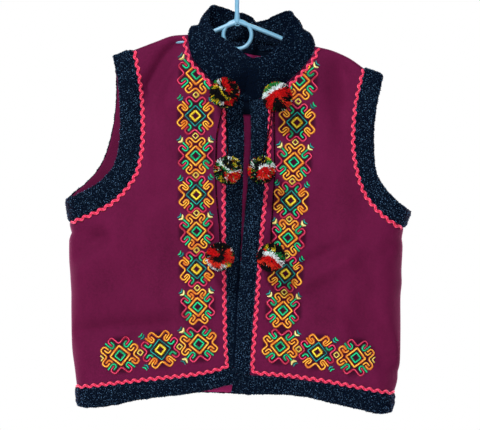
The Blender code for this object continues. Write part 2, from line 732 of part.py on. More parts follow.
def make_pompom(name, centre, radius, material, collection):
    """A wound ball: a core with cut locks of wool that stand apart."""
    mesh = bpy.data.meshes.new(name)
    work = bmesh.new()
    bmesh.ops.create_icosphere(work, subdivisions=2, radius=radius * POMPOM_CORE * MM)
    work.faces.ensure_lookup_table()
    chosen = [face for k, face in enumerate(work.faces) if k % 2 == 0][:LOCKS_PER_POMPOM]
    for lock in bmesh.ops.extrude_discrete_faces(work, faces=chosen)["faces"]:
        middle = lock.calc_center_median()
        grow = radius * MM / middle.length
        for vert in lock.verts:
            vert.co = (middle + (vert.co - middle) * LOCK_TAPER) * grow
    work.to_mesh(mesh)
    work.free()
    mesh.materials.append(material)
    item = bpy.data.objects.new(name, mesh)
    item.location = [c * MM for c in centre]
    collection.objects.link(item)
    return item


def make_rod(name, points, radius, resolution, material, collection, cyclic=False, radii=None):
    curve = bpy.data.curves.new(name, "CURVE")
    curve.dimensions = "3D"
    curve.bevel_depth = radius * MM
    curve.bevel_resolution = resolution
    curve.use_fill_caps = not cyclic
    spline = curve.splines.new("POLY")
    spline.points.add(len(points) - 1)
    for k, point in enumerate(points):
        spline.points[k].co = (point[0] * MM, point[1] * MM, point[2] * MM, 1.0)
        if radii:
            spline.points[k].radius = radii[k]
    spline.use_cyclic_u = cyclic
    curve.materials.append(material)
    item = bpy.data.objects.new(name, curve)
    collection.objects.link(item)
    return item


def curve_to_mesh(item):
    """Replace a curve object with a welded mesh of the same name and place."""
    graph = bpy.context.evaluated_depsgraph_get()
    mesh = bpy.data.meshes.new_from_object(item.evaluated_get(graph))
    work = bmesh.new()
    work.from_mesh(mesh)
    bmesh.ops.remove_doubles(work, verts=work.verts, dist=0.00001)
    work.to_mesh(mesh)
    work.free()
    name, matrix, collections = item.name, item.matrix_world.copy(), item.users_collection
    bpy.data.objects.remove(item, do_unlink=True)
    made = bpy.data.objects.new(name, mesh)
    made.matrix_world = matrix
    collections[0].objects.link(made)
    return made


def evenly(points, spacing):
    line = smooth_through(points, 12)
    length = line_length(line)
    count = max(int(round(length / spacing)), 2)
    return [point_along(line, length * k / count)[0] for k in range(count + 1)]


def circle_point(x, z, radius, turn):
    return Vector((x + radius * math.cos(math.radians(turn)), 0,
                   z + radius * math.sin(math.radians(turn))))


def make_hanger(material, collection, cutters):
    """Hook, neck, two arms and the small ring below the neck, united in one piece."""
    centre_z = HOOK_TOP_Z - HOOK_BEND
    bend = [circle_point(0.0, centre_z, HOOK_BEND, turn) for turn in range(-40, 191, 15)]
    stem = [Vector((0, 0, z)) for z in (JUNCTION[1], -84, -74)]
    neck = [Vector((1.5, 0, -65)), Vector((7.5, 0, -53))]
    hook = make_rod("hanger", stem + neck + bend, HANGER_RADIUS, 3, material, collection,
                    radii=[1.45, 1.15] + [1.0] * (len(neck) + len(bend)) + [0.8])
    pieces = []
    for name, arm in (("right_arm", RIGHT_ARM), ("left_arm", LEFT_ARM)):
        path = evenly([Vector((x, 0, z)) for x, z in arm], 14.0)
        radii = [1.0] * (len(path) - 1) + [0.7]
        pieces.append(make_rod(name, path, HANGER_RADIUS, 3, material, cutters, radii=radii))
    ring = [circle_point(*RING_CENTRE, RING_BEND, turn) for turn in range(0, 360, 15)]
    pieces.append(make_rod("ring", ring, RING_RADIUS, 2, material, cutters, cyclic=True))
    hanger = curve_to_mesh(hook)
    for piece in pieces:
        piece = curve_to_mesh(piece)
        piece.hide_render = True
        piece.display_type = "WIRE"
        join = hanger.modifiers.new(piece.name, "BOOLEAN")
        join.operation = "UNION"
        join.object = piece
    return hanger


# ---- the whole vest ------------------------------------------------------------------
def front_ricrac_line(side):
    """Down the front seam and out along the hem seam, inside the cloth by the braid's inset."""
    turn = 1 if side == "right" else -1
    down = offset_line(list(reversed(pattern(side + "_front_seam"))), -RICRAC_INSET * turn)
    out = offset_line(list(reversed(pattern(side + "_hem_seam"))), -RICRAC_INSET * turn)
    corner = Vector(PATTERN[side + "_front_seam"][0])
    clear = RICRAC_INSET * 1.2
    down = [p for p in down if p[1] > corner[1] + clear]
    out = [p for p in out if abs(p[0] - corner[0]) > clear]
    return down + out


def build():
    clear_scene()
    materials = make_materials()
    vest = bpy.data.collections.new("embroidered_folk_vest")
    cutters = bpy.data.collections.new("cutters")
    bpy.context.scene.collection.children.link(vest)
    bpy.context.scene.collection.children.link(cutters)
    cloth, plush, braid = materials["cloth"], materials["plush"], materials["ricrac"]

    fronts = {side: front_sheet(side) for side in ("right", "left")}
    back, back_neck = back_sheet()
    make_panel("back_panel", back, cloth, vest)
    make_band("band_hem_back", back, ["hem"], plush, vest)
    for side, (sheet, _) in fronts.items():
        turn = 1 if side == "right" else -1
        make_panel("front_" + side, sheet, cloth, vest)
        make_band("band_front_" + side, sheet, ["front"], plush, vest)
        make_band("band_hem_" + side, sheet, ["hem", "corner"], plush, vest)
        make_band("band_armhole_front_" + side, sheet, ["armhole"], plush, vest)
        make_band("band_armhole_back_" + side, back, ["armhole_" + side], plush, vest)
        make_ricrac("ricrac_front_" + side, sheet, front_ricrac_line(side), braid, vest, (14.0, 8.0))
        make_ricrac("ricrac_neck_" + side, sheet, offset_line(pattern(side + "_neck"), RICRAC_INSET * turn),
                    braid, vest, (8.0, 8.0))
        make_ricrac("ricrac_armhole_front_" + side, sheet,
                    offset_line(pattern(side + "_armhole_seam"), -RICRAC_INSET * turn), braid, vest,
                    (8.0, 8.0))
        make_ricrac("ricrac_armhole_back_" + side, back,
                    offset_line(pattern("back_seam_" + side), -RICRAC_INSET * turn), braid, vest,
                    (8.0, 8.0))
    make_ricrac("ricrac_hem_back", back, offset_line(pattern("back_hem_seam"), RICRAC_INSET), braid, vest,
                (8.0, 8.0))
    make_ricrac("ricrac_neck_back", back, offset_line(pattern("back_neck"), -RICRAC_INSET), braid, vest,
                (14.0, 26.0))
    make_collar([(fronts["right"][0], fronts["right"][1]), (back, back_neck),
                 (fronts["left"][0], fronts["left"][1][::-1])], plush, vest)
    for name, x, y, z, radius in POMPOMS:
        make_pompom(name, (x, y, z), radius, materials["pompom"], vest)
    for name, route in CORDS.items():
        path = evenly([Vector(p) for p in route], CORD_SPACING)
        make_rod(name, path, CORD_RADIUS, 2, materials["cord"], vest)
    make_hanger(materials["hanger"], vest, cutters)


build()
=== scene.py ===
"""Looks of the embroidered folk vest on its hanger.

Lengths are in millimetres until a mesh is made.  +Z is up, the front faces -Y, and the
origin is the inside top of the hanger's hook.  Sides are the wearer's: the right front
hangs at -X.  The cut, the hang and the cords' routes repeat the part's own named sizes.
"""
import math

import bmesh
import bpy
import numpy as np
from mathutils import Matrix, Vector


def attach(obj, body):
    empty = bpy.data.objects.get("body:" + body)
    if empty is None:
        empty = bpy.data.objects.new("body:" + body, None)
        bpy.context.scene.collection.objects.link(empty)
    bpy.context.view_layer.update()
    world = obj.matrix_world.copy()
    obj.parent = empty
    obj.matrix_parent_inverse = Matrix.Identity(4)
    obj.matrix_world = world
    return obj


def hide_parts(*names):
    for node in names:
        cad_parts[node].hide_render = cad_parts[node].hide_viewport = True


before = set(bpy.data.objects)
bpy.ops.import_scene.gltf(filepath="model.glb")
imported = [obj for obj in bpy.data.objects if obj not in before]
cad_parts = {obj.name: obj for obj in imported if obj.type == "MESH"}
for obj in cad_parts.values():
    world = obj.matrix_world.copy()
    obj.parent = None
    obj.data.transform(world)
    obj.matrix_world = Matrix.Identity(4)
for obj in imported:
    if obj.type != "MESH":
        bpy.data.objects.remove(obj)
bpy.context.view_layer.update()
MM = 0.001
SIDES = ("right", "left")
rng = np.random.RandomState(7)


# ------- Materials -------
def rgb(red, green, blue):
    """Linear colour from a screen colour out of 255."""
    return tuple((c / 255.0 / 12.92) if c <= 10 else ((c / 255.0 + 0.055) / 1.055) ** 2.4
                 for c in (red, green, blue))


def shade(colour, factor):
    return tuple(min(c * factor, 1.0) for c in colour)


class Shading:
    """A material, and a short way to write its nodes."""

    def __init__(self, name, colour, roughness, sheen=0.0, **more):
        self.material = bpy.data.materials.new(name)
        self.material.use_nodes = True
        self.tree = self.material.node_tree
        self.shader = self.tree.nodes["Principled BSDF"]
        self.fill(self.shader, {"Base Color": (*colour, 1.0), "Roughness": roughness,
                                "Sheen Weight": sheen, **more})

    def fill(self, node, inputs):
        """Inputs by name or number, each a value or another node's output."""
        for key, value in inputs.items():
            if hasattr(value, "links"):
                self.tree.links.new(value, node.inputs[key])
            else:
                node.inputs[key].default_value = value

    def add(self, kind, output, inputs, **settings):
        node = self.tree.nodes.new("ShaderNode" + kind)
        for key, value in settings.items():
            setattr(node, key, value)
        self.fill(node, inputs)
        return node.outputs[output]

    def place(self, stretch=1.0):
        spot = self.add("TexCoord", "Object", {})
        return self.add("Mapping", "Vector", {"Scale": (1.0, 1.0, stretch), "Vector": spot})

    def axes(self, vector):
        x = self.add("SeparateXYZ", "X", {"Vector": vector})
        return x, x.node.outputs["Y"]

    def along_and_across(self):
        return self.axes(self.add("TexCoord", "UV", {}))

    def noise(self, vector, scale, detail, roughness):
        return self.add("TexNoise", "Fac", {"Scale": scale, "Detail": detail,
                                            "Roughness": roughness, "Vector": vector})

    def ramp(self, value, *stops):
        colour = self.add("ValToRGB", "Color", {"Fac": value})
        elements = colour.node.color_ramp.elements
        while len(elements) < len(stops):
            elements.new(0.5)
        for element, (position, tone) in zip(elements, stops):
            element.position, element.color = position, (*tone, 1.0)
        return colour

    def mask(self, value, start, end, low, high):
        """A grey that goes from low to high as the value goes from start to end."""
        return self.ramp(value, (start, (low,) * 3), (end, (high,) * 3))

    def mix(self, share, first, colour):
        """The node's inputs 6 and 7 and its output 2 are those for colours."""
        return self.add("Mix", 2, {"Factor": share, 6: first, 7: (*colour, 1.0)},
                        data_type="RGBA")

    def maths(self, operation, first, second=0.0):
        return self.add("Math", "Value", {0: first, 1: second}, operation=operation)

    def wave(self, value, turns):
        return self.maths("SINE", self.maths("MULTIPLY", value, turns * math.pi))

    def bump(self, height, distance, strength, **below):
        return self.add("Bump", "Normal", {"Strength": strength, "Distance": distance,
                                           "Height": height, **below})

    def finish(self, colour, normal):
        self.fill(self.shader, {"Base Color": colour, "Normal": normal})
        return self.material


GLOSS = "Specular IOR Level"


def cloth_material(name, colour, deep, armhole_shade=0.0):
    """Felted wool: fine nap, faint brushing, and painted shade round the embroidered motifs.

    With its last argument, a cloth also gets painted shade towards the armholes, by how far it is
    from the middle.
    """
    look = Shading(name, colour, 0.82, 0.12, **{
        GLOSS: 0.06, "Sheen Roughness": 0.3, "Sheen Tint": (1.0, 0.42, 0.72, 1.0)})
    place = look.place()
    cloudy = look.noise(look.place(0.45), 24.0, 4.0, 0.6)
    mottled = look.noise(place, 330.0, 2.0, 0.6)
    fine = look.noise(place, 900.0, 3.0, 0.7)
    tone = look.ramp(cloudy, (0.28, shade(colour, 0.80)), (0.72, shade(colour, 1.18)))
    tone = look.mix(look.mask(mottled, 0.35, 0.65, 0.0, 0.30), tone, shade(colour, 1.5))
    tone = look.mix(look.maths("MULTIPLY", fine, 0.40), tone, deep)
    # Painted shade round the embroidered motifs, from a mark on the cloth's points.
    near = look.maths("MULTIPLY", look.add("Attribute", "Fac", {}, attribute_name="motif_shade"), 0.8)
    # Painted shade towards the armholes, where the lining lies in shadow.
    if armhole_shade:
        from_middle = look.maths("ABSOLUTE", look.maths("SUBTRACT", look.axes(place)[0], 0.012))
        near = look.maths("MAXIMUM", near, look.mask(from_middle, 0.09, 0.15, 0.0, armhole_shade))
    nap = look.bump(fine, 0.0005, 0.35)
    felted = look.noise(place, 240.0, 3.0, 0.6)
    return look.finish(look.mix(near, tone, deep), look.bump(felted, 0.0008, 0.25, Normal=nap))


def plush_material(name, dark, light):
    """Curly plush: the curls' own tones vary from one to the next, by their UV X, which also
    carries painted shadow.
    """
    look = Shading(name, dark, 0.75, **{GLOSS: 0.03})
    place = look.place()
    tone = look.ramp(look.along_and_across()[0],
                     (0.0, shade(dark, 0.8)), (0.3, shade(dark, 1.6)), (0.55, shade(light, 0.26)),
                     (0.8, shade(light, 0.62)), (1.0, shade(light, 1.25)))
    grain = look.mask(look.noise(place, 640.0, 2.5, 0.7), 0.4, 0.6, 0.45, 0.0)
    return look.finish(look.mix(grain, tone, shade(dark, 0.4)),
                       look.bump(look.noise(place, 900.0, 3.0, 0.7), 0.0006, 0.5))


def thread_material(name, middle, edge):
    """Satin stitch: threads laid across a line every 0.55 mm, with a painted highlight on its crown
    and painted shadow at its foot.
    """
    look = Shading(name, middle, 0.36, **{GLOSS: 0.3})
    along, across = look.along_and_across()
    slant = look.maths("ADD", along, look.maths("MULTIPLY", across, 0.9))
    ridge = look.wave(slant, 2 / 0.55)
    from_crown = look.maths("ABSOLUTE", look.maths("SUBTRACT", across, 0.5))
    # Painted highlight on the crown, and painted shadow at the sides that darkens to near black at
    # the foot.
    tone = look.ramp(from_crown, (0.03, shade(middle, 1.2)), (0.12, middle), (0.22, edge),
                     (0.31, shade(edge, 0.35)), (0.37, shade(edge, 0.08)))
    place = look.place()
    uneven = look.noise(place, 260.0, 2.0, 0.6)
    patchy = look.mask(look.noise(place, 75.0, 1.0, 0.5), 0.42, 0.62, 0.0, 0.75)
    tone = look.mix(look.maths("MULTIPLY", uneven, 0.4), tone, edge)
    tone = look.mix(patchy, tone, edge)
    gaps = look.maths("MULTIPLY", look.maths("ADD", ridge, 1.0), 0.12)
    return look.finish(look.mix(gaps, tone, shade(edge, 0.7)), look.bump(ridge, 0.00012, 0.5))


def braid_material(name, bright, deep):
    """Wavy braid: painted highlight at each bend and on its ridges, redder painted shade where it
    crosses over, and painted shadow at its edges where it meets the cloth.
    """
    look = Shading(name, bright, 0.5, 0.1, **{GLOSS: 0.2})
    turns, across = look.along_and_across()
    across = look.maths("SUBTRACT", across, 0.5)
    slant = look.maths("ADD", turns, look.maths("MULTIPLY", across, 0.35))
    crossing = look.maths("ABSOLUTE", look.maths(
        "COSINE", look.maths("MULTIPLY", slant, 2 * math.pi)))
    middle = look.maths("ABSOLUTE", across)
    # A darker middle, a painted highlight on each ridge, and painted shadow that darkens to near
    # black at the edges.
    tone = look.ramp(middle, (0.04, shade(deep, 1.25)), (0.15, bright),
                     (0.27, shade(bright, 1.15)), (0.37, deep), (0.42, shade(deep, 0.18)))
    # Redder painted shade where the braid crosses over.
    tone = look.mix(look.mask(crossing, 0.30, 0.95, 0.0, 0.78), tone, shade(deep, 1.1))
    # Painted shadow along the edges, where the braid meets the cloth.
    tone = look.mix(look.mask(middle, 0.36, 0.42, 0.0, 1.0), tone, shade(deep, 0.18))
    weave = look.maths("MULTIPLY", look.wave(across, 14), look.wave(turns, 18))
    return look.finish(tone, look.bump(weave, 0.0002, 0.6))


def mottled_material(name, dark, light, roughness, gloss, grain, stops, relief, depth,
                     stretch=1.0):
    """Two tones shared out by a grain between two stops, over a fine relief.

    The grain and the relief are noises: (scale, detail, roughness).
    """
    look = Shading(name, dark, roughness, **{GLOSS: gloss})
    place = look.place(stretch)
    tone = look.ramp(look.noise(place, *grain), (stops[0], dark), (stops[1], light))
    return look.finish(tone, look.bump(look.noise(place, *relief), *depth))


def wool_material(name, colour):
    fibres = (700.0, 3.0, 0.7)
    return mottled_material(name, shade(colour, 0.62), shade(colour, 1.12), 0.85, 0.15,
                            fibres, (0.3, 0.7), fibres, (0.0004, 0.4))


# Each thread as (middle, edge): the edge tone is painted shade on the strand's sides, and also the
# colour of its random darker patches.
THREADS = {
    "orange": ((252, 202, 66), (192, 88, 12)),
    "yellow": ((252, 242, 66), (196, 158, 20)),
    "pale": ((248, 240, 122), (186, 152, 50)),
    "cream": ((255, 250, 168), (198, 182, 96)),
    "green": ((0, 224, 152), (0, 118, 72)),
    "teal": ((14, 168, 162), (0, 62, 68)),
    "pink": ((242, 62, 114), (136, 3, 38)),
    "black": ((4, 10, 16), (2, 4, 8)),
}
WOOLS = {"black": (4, 4, 8), "red": (206, 12, 18), "scarlet": (232, 52, 34),
         "white": (232, 250, 255), "green": (26, 142, 62), "yellow": (222, 196, 28)}
HANGER_BLUE = rgb(102, 153, 181)
# The lining's colour is lifted for where it shows in the shaded gap between the fronts: painted
# light there, which painted shade towards the armholes takes down again.
CLOTH = [cloth_material("burgundy_wool", rgb(86, 15, 52), rgb(36, 3, 23)),
         cloth_material("burgundy_lining", rgb(134, 33, 83), rgb(75, 12, 45), armhole_shade=0.95)]
PLUSH = [plush_material("navy_plush_ground", rgb(1, 10, 25), rgb(7, 23, 45)),
         plush_material("navy_curly_plush", rgb(1, 15, 39), rgb(78, 112, 146))]
BRAID = [braid_material("coral_wavy_braid", rgb(246, 76, 118), rgb(168, 8, 46))]
THREAD = [thread_material(name + "_thread", rgb(*middle), rgb(*edge))
          for name, (middle, edge) in THREADS.items()]
WOOL = [wool_material(name + "_wool", rgb(*colour)) for name, colour in WOOLS.items()]
CORD = [mottled_material("black_and_red_cord", rgb(4, 3, 6), rgb(96, 10, 16), 0.9, 0.05,
                         (330.0, 1.0, 0.5), (0.60, 0.72), (1300.0, 2.0, 0.6), (0.0003, 0.4), 0.55)]
HANGER = [mottled_material("light_blue_plastic", shade(HANGER_BLUE, 0.93),
                           shade(HANGER_BLUE, 1.06), 0.34, 0.5, (55.0, 2.0, 0.5), (0.3, 0.7),
                           (600.0, 2.0, 0.5), (0.0003, 0.08))]


# ------- Camera, floor and light -------
LENS, SENSOR_WIDTH = 134.9, 36.0
CAMERA_PLACE = (0.0029, -2.6, -0.3718)
VEST_MIDDLE = (0.0, 0.0, -0.38)
PLAIN_LIGHT, PINK_LIGHT = (1.0, 1.0, 1.0), (1.0, 0.66, 0.86)
LIGHTS = [
    ("key", (-1.0, -1.75, 1.75), 0.5, 96.0, PLAIN_LIGHT),
    ("front", (0.05, -2.95, -0.2), 0.35, 33.0, PLAIN_LIGHT),
    ("back", (0.5, 2.0, 0.6), 1.2, 44.0, PLAIN_LIGHT),
    ("right_side", (1.5, 0.8, -0.3), 0.5, 30.0, PINK_LIGHT),
    ("left_side", (-1.5, 0.8, -0.4), 0.5, 30.0, PINK_LIGHT),
]
# the white room is seen at full strength and lights the vest more softly
ROOM_LIGHT, ROOM_SEEN = 0.16, 1.0
FLOOR_Z, FLOOR_RADIUS = -0.95, 2.1


def add_object(name, data):
    made = bpy.data.objects.new(name, data)
    bpy.context.scene.collection.objects.link(made)
    return made


def add_camera():
    data = bpy.data.cameras.new("camera")
    data.lens, data.sensor_width = LENS, SENSOR_WIDTH
    camera = add_object("camera", data)
    camera.location = CAMERA_PLACE
    camera.rotation_euler = (math.radians(90), 0, 0)
    bpy.context.scene.camera = camera


def add_studio():
    scene = bpy.context.scene
    scene.view_settings.view_transform = "Standard"
    scene.world = bpy.data.worlds.new("studio")
    scene.world.use_nodes = True
    tree = scene.world.node_tree
    background = tree.nodes["Background"].inputs
    background["Color"].default_value = (1.0, 1.0, 1.0, 1.0)
    strength = tree.nodes.new("ShaderNodeMapRange")
    strength.inputs["To Min"].default_value = ROOM_LIGHT
    strength.inputs["To Max"].default_value = ROOM_SEEN
    seen = tree.nodes.new("ShaderNodeLightPath").outputs["Is Camera Ray"]
    tree.links.new(seen, strength.inputs["Value"])
    tree.links.new(strength.outputs["Result"], background["Strength"])
    for name, place, size, power, colour in LIGHTS:
        data = bpy.data.lights.new(name, "AREA")
        data.shape, data.size, data.energy, data.color = "DISK", size, power, colour
        light = add_object(name, data)
        light.location = place
        aim = Vector(VEST_MIDDLE) - Vector(place)
        light.rotation_euler = aim.to_track_quat("-Z", "Y").to_euler()
    bpy.ops.mesh.primitive_circle_add(vertices=96, radius=FLOOR_RADIUS, fill_type="NGON",
                                      location=(0, 0, FLOOR_Z))
    floor = bpy.context.object
    floor.name = "floor"
    floor.data.materials.append(Shading("floor_paper", (0.92, 0.92, 0.91), 0.7).material)


# ------- The cut and the hang, as in the part -------
SEAM_GAP = 0.3
CLOTH_WALL = 2.0
FRONT_DEPTH = 24.0
BACK_DEPTH = 18.0
TOP_ROUND = 8.0
FALL_LENGTH = 220.0
SIDE_ROUND = 36.0
LAP_LIFT = 9.0
RECESS = 13.0
RICRAC_INSET = 4.5
# Low down the left front lies over the right one: below LAP_TOP they part more and more, the
# left taking LIFT_SHARE of it, and away from the lap this fades out towards LAP_ENDS.
LAP_TOP, LAP_GROWS, LAP_FADES, LIFT_SHARE = -335.0, 75.0, 70.0, 0.65
LAP_ENDS = {"right": -70.0, "left": 90.0}
# The front edges turn in where the collar is hooked: from nothing at RECESS_FOOT to all of
# RECESS at RECESS_FADE above it.
RECESS_FOOT, RECESS_FADE = -238.0, 26.0
# How far below the shoulder line each kind of relief has its full height.
FOLDS_FROM, CREASES_FROM, SWELLS_FROM = 60.0, 24.0, 12.0

# Seams and edges of each panel as (x, z).  They run upwards, or from the side inwards; the
# back's neck and hem run from the right side to the left.
PATTERN = {
    "right_side": [(-233, -618), (-236, -593), (-240, -560), (-241, -505), (-240.5, -472),
        (-244, -437), (-244, -400), (-243, -381)],
    "right_armhole": [(-247, -349), (-227, -341), (-203, -328), (-186, -312), (-176, -296),
        (-170, -270), (-169, -220), (-173, -175), (-180, -144)],
    "right_armhole_seam": [(-243, -381), (-224, -374), (-199, -363), (-176, -348), (-155, -324),
        (-144, -300), (-139, -265), (-140, -220), (-145, -170), (-152, -134)],
    "right_shoulder": [(-152, -134), (-139, -129), (-118, -121), (-96, -113), (-73, -111)],
    "right_neck": [(-18, -200), (-30, -188), (-41, -176), (-54, -162), (-65, -148), (-71, -130),
        (-73, -111)],
    "right_front_seam": [(-13, -591), (-16, -560), (-17, -480), (-18, -400), (-18, -300),
        (-18, -200)],
    "right_front_edge": [(12, -588), (9, -536), (6, -480), (4, -440), (5.2, -405), (7.5, -340),
        (10, -268), (9, -232), (7.5, -209)],
    "right_hem_seam": [(-233, -618), (-183, -613), (-140, -609), (-83, -604), (-45, -599),
        (-13, -591)],
    "right_hem": [(-231, -646), (-215, -648), (-180, -644), (-140, -636), (-83, -629), (-45, -623),
        (-10, -614)],
    "left_side": [(225, -629), (230, -612), (234, -585), (235, -540), (235, -480), (238, -420),
        (239, -390)],
    "left_armhole": [(248, -367), (228, -352), (214, -338), (202, -321), (196.5, -300),
        (194.5, -265), (197.5, -225), (203.5, -195), (209, -171)],
    "left_armhole_seam": [(239, -390), (217, -377), (200, -362), (184, -341), (173, -312),
        (167, -275), (168, -235), (174, -195), (182, -160)],
    "left_shoulder": [(182, -160), (170, -151), (157, -143), (136, -134), (112, -128)],
    "left_neck": [(44, -202), (56, -194), (69, -184), (83, -171), (97, -156), (107, -142),
        (112, -128)],
    "left_front_seam": [(17, -600), (19, -560), (23, -500), (27, -450), (32, -390), (38, -330),
        (42, -270), (44, -202)],
    "left_front_edge": [(-5, -598), (-3, -550), (0, -490), (3, -440), (5.8, -407), (11, -350),
        (17, -280), (17.5, -232), (15.5, -209)],
    "left_hem_seam": [(225, -629), (190, -623), (150, -616), (110, -610), (60, -604), (17, -600)],
    "left_hem": [(221, -655), (200, -656), (170, -649), (130, -640), (90, -631), (50, -628),
        (12, -628)],
    "back_armhole_right": [(-247, -349), (-236, -337), (-221.5, -325), (-203, -304), (-191, -279),
        (-182, -245), (-177, -205), (-177, -170), (-180, -144)],
    "back_seam_right": [(-243, -381), (-219, -362), (-192, -337), (-171, -308), (-158, -275),
        (-150, -235), (-148, -190), (-152, -134)],
    "back_armhole_left": [(248, -367), (229, -349), (213, -331), (200, -309), (192, -284),
        (189, -250), (193, -210), (209, -171)],
    "back_seam_left": [(239, -390), (213, -373), (190, -352), (173, -325), (162, -290),
        (159, -245), (165, -200), (182, -160)],
    "back_neck": [(-73, -111), (-55, -121), (-25, -130), (15, -134), (55, -134), (88, -131),
        (112, -128)],
    "back_hem_seam": [(-233, -618), (-180, -611), (-120, -605), (-60, -602), (0, -601), (70, -602),
        (130, -608), (180, -617), (225, -629)],
    "back_hem": [(-231, -646), (-180, -638), (-120, -631), (-60, -630), (0, -631), (70, -629),
        (130, -635), (180, -643), (221, -655)],
}
# Folds as in the part, then finer creases, which only the looks have:
# (x and z of one end, x and z of the other, half-width, height).
FRONT_FOLDS = [
    (-92, -126, -132, -210, 18, -8.0), (-78, -160, -108, -245, 22, 3.0),
    (-243, -398, -204, -404, 14, -7.0), (-240, -455, -180, -402, 18, 7.5),
    (-236, -538, -100, -528, 19, -6.0), (-236, -570, -170, -562, 17, 3.5),
    (-112, -300, -120, -400, 28, 4.0), (140, -168, 148, -230, 16, -8.0),
    (112, -185, 132, -300, 24, 4.0), (176, -354, 164, -405, 18, -6.0),
    (95, -466, 152, -432, 14, 7.5), (95, -496, 140, -474, 15, -4.0),
    (151, -400, 152, -545, 17, 5.0), (172, -482, 222, -576, 20, -10.0),
    (198, -420, 214, -500, 18, 4.0), (200, -602, 226, -588, 15, 5.0),
]
BACK_FOLDS = [
    (-95, -132, -150, -230, 21, -6.0), (130, -152, 160, -245, 21, -6.5),
    (-236, -402, -165, -445, 19, 6.5), (232, -412, 160, -460, 19, 7.0),
    (-150, -420, -135, -590, 25, -6.0), (-40, -330, -55, -600, 30, 5.0),
    (50, -300, 62, -610, 27, -5.0), (140, -440, 150, -600, 25, 6.0),
    (-90, -235, 100, -245, 25, -3.5),
]
FRONT_CREASES = [
    (-73, -108, -117, -180, 16, -15.0), (-117, -200, -113, -340, 14, -4.5),
    (-98, -214, -70, -208, 12, 3.5), (150, -150, 161, -206, 13, -8.5),
    (132, -256, 157, -230, 14, 3.0), (-236, -541, -104, -531, 13, -5.0),
    (148, -500, 202, -578, 14, -8.0), (182, -478, 232, -560, 14, 6.5),
    (206, -586, 230, -575, 6, -2.5), (-228, -431, -198, -408, 12, -9.0),
    (-214, -468, -150, -412, 20, 5.0), (90, -445, 148, -422, 11, -7.0),
    (112, -502, 165, -478, 20, 3.5), (168, -376, 166, -490, 20, 7.5),
    (-60, -250, -150, -262, 9, 0.7), (-205, -300, -165, -340, 7, -1.0),
    (-150, -452, -215, -505, 12, 0.9), (-96, -575, -150, -590, 8, 0.7),
    (60, -420, 100, -448, 8, -0.9), (120, -330, 170, -338, 8, 0.8),
    (205, -432, 234, -402, 7, -1.6), (180, -545, 212, -530, 7, 1.0), (90, -585, 150, -596, 9, 0.7),
    (140, -270, 165, -310, 8, 0.8), (100, -395, 130, -380, 9, -0.7),
]
BACK_CREASES = [
    (-120, -300, -70, -330, 10, 0.8), (90, -330, 140, -300, 10, -0.8),
    (-20, -180, 10, -260, 12, 0.7), (-190, -520, -150, -480, 10, 1.0),
    (180, -540, 140, -500, 10, -1.0), (-60, -560, 20, -572, 9, 0.7),
]
# Broad swells: (x, z, width, height on the cloth, how far out).
FRONT_SWELLS = [(15, -195, 75, 60, 6.0), (15, -300, 90, 90, 2.0)]
BACK_SWELLS = [(15, -134, 80, 50, 8.0), (0, -290, 150, 90, 3.0)]
# Cloth is never quite flat: slow waves, as (direction, length, phase, height).
WAVINESS = [(0.3, 61, 0.4, 0.30), (1.2, 47, 2.1, 0.26), (2.2, 36, 4.0, 0.20),
            (2.9, 27, 1.3, 0.13), (0.8, 22, 5.2, 0.10), (1.8, 17, 3.1, 0.07)]
# Small pulls at the sides: (x, z, half-height, how far to +X), each as wide as NIP_WIDTH.
SIDE_NIPS = [(-243, -397, 6, 3.6), (-240, -470, 16, -1.2), (234, -405, 7, -2.0),
             (234, -470, 12, 1.5), (226, -598, 6, -2.0)]
NIP_WIDTH = 16


def smooth_through(points, per_span=8):
    """Catmull-Rom curve through the points, as a finely divided line."""
    points = np.array(points, float)
    if len(points) == 2:
        return points
    chain = np.vstack([2 * points[0] - points[1], points, 2 * points[-1] - points[-2]])
    t = np.arange(per_span)[:, None] / per_span
    line = [0.5 * (2 * b + (c - a) * t + (2 * a - 5 * b + 4 * c - d) * t ** 2
                   + (3 * b - a - 3 * c + d) * t ** 3)
            for a, b, c, d in zip(chain, chain[1:], chain[2:], chain[3:])]
    return np.vstack(line + [points[-1:]])


def running_total(values):
    return np.concatenate([[0.0], np.cumsum(values)])


def run_lengths(line):
    return running_total(np.linalg.norm(np.diff(line, axis=0), axis=1))


def each_axis(at, run, rows):
    return np.stack([np.interp(at, run, column) for column in rows.T], axis=1)


def at_shares(line, shares):
    """Points at shares of a line's length."""
    run = run_lengths(line)
    return each_axis(np.asarray(shares) * run[-1], run, line)


def even_points(line, count):
    return at_shares(line, np.linspace(0, 1, count + 1))


def shares(count, fine_start=0.0, fine_end=0.0, reach=0.06):
    """Rising shares from 0 to 1, closer together near an end that asks for it."""
    s = (np.arange(count) + 0.5) / count
    weight = 1 - fine_start * np.exp(-s / reach) - fine_end * np.exp(-(1 - s) / reach)
    total = running_total(weight)
    return total / total[-1]


def pattern(name):
    return smooth_through(PATTERN[name])


def unit(vectors):
    return vectors / np.maximum(np.linalg.norm(vectors, axis=-1, keepdims=True), 1e-9)


def in_order(line, axis):
    """A line's other axis against this one, for np.interp."""
    line = line[np.argsort(line[:, axis], kind="stable")]
    return line[:, axis], line[:, 1 - axis]


SHOULDER_LINE = in_order(np.vstack([line for side in SIDES for line in (
    pattern(side + "_shoulder"), PATTERN[side + "_armhole"][-1:])]), 0)
OUTLINES = {side: in_order(np.vstack([pattern(side + "_side"), PATTERN[side + "_armhole"][:1]]), 1)
            for side in SIDES}


def quarter_round(share):
    share = np.clip(share, 0.0, 1.0)
    return np.sqrt(np.maximum(1 - (1 - share) ** 2, 0.0))


def ease(share):
    share = np.clip(share, 0.0, 1.0)
    return share * share * (3 - 2 * share)


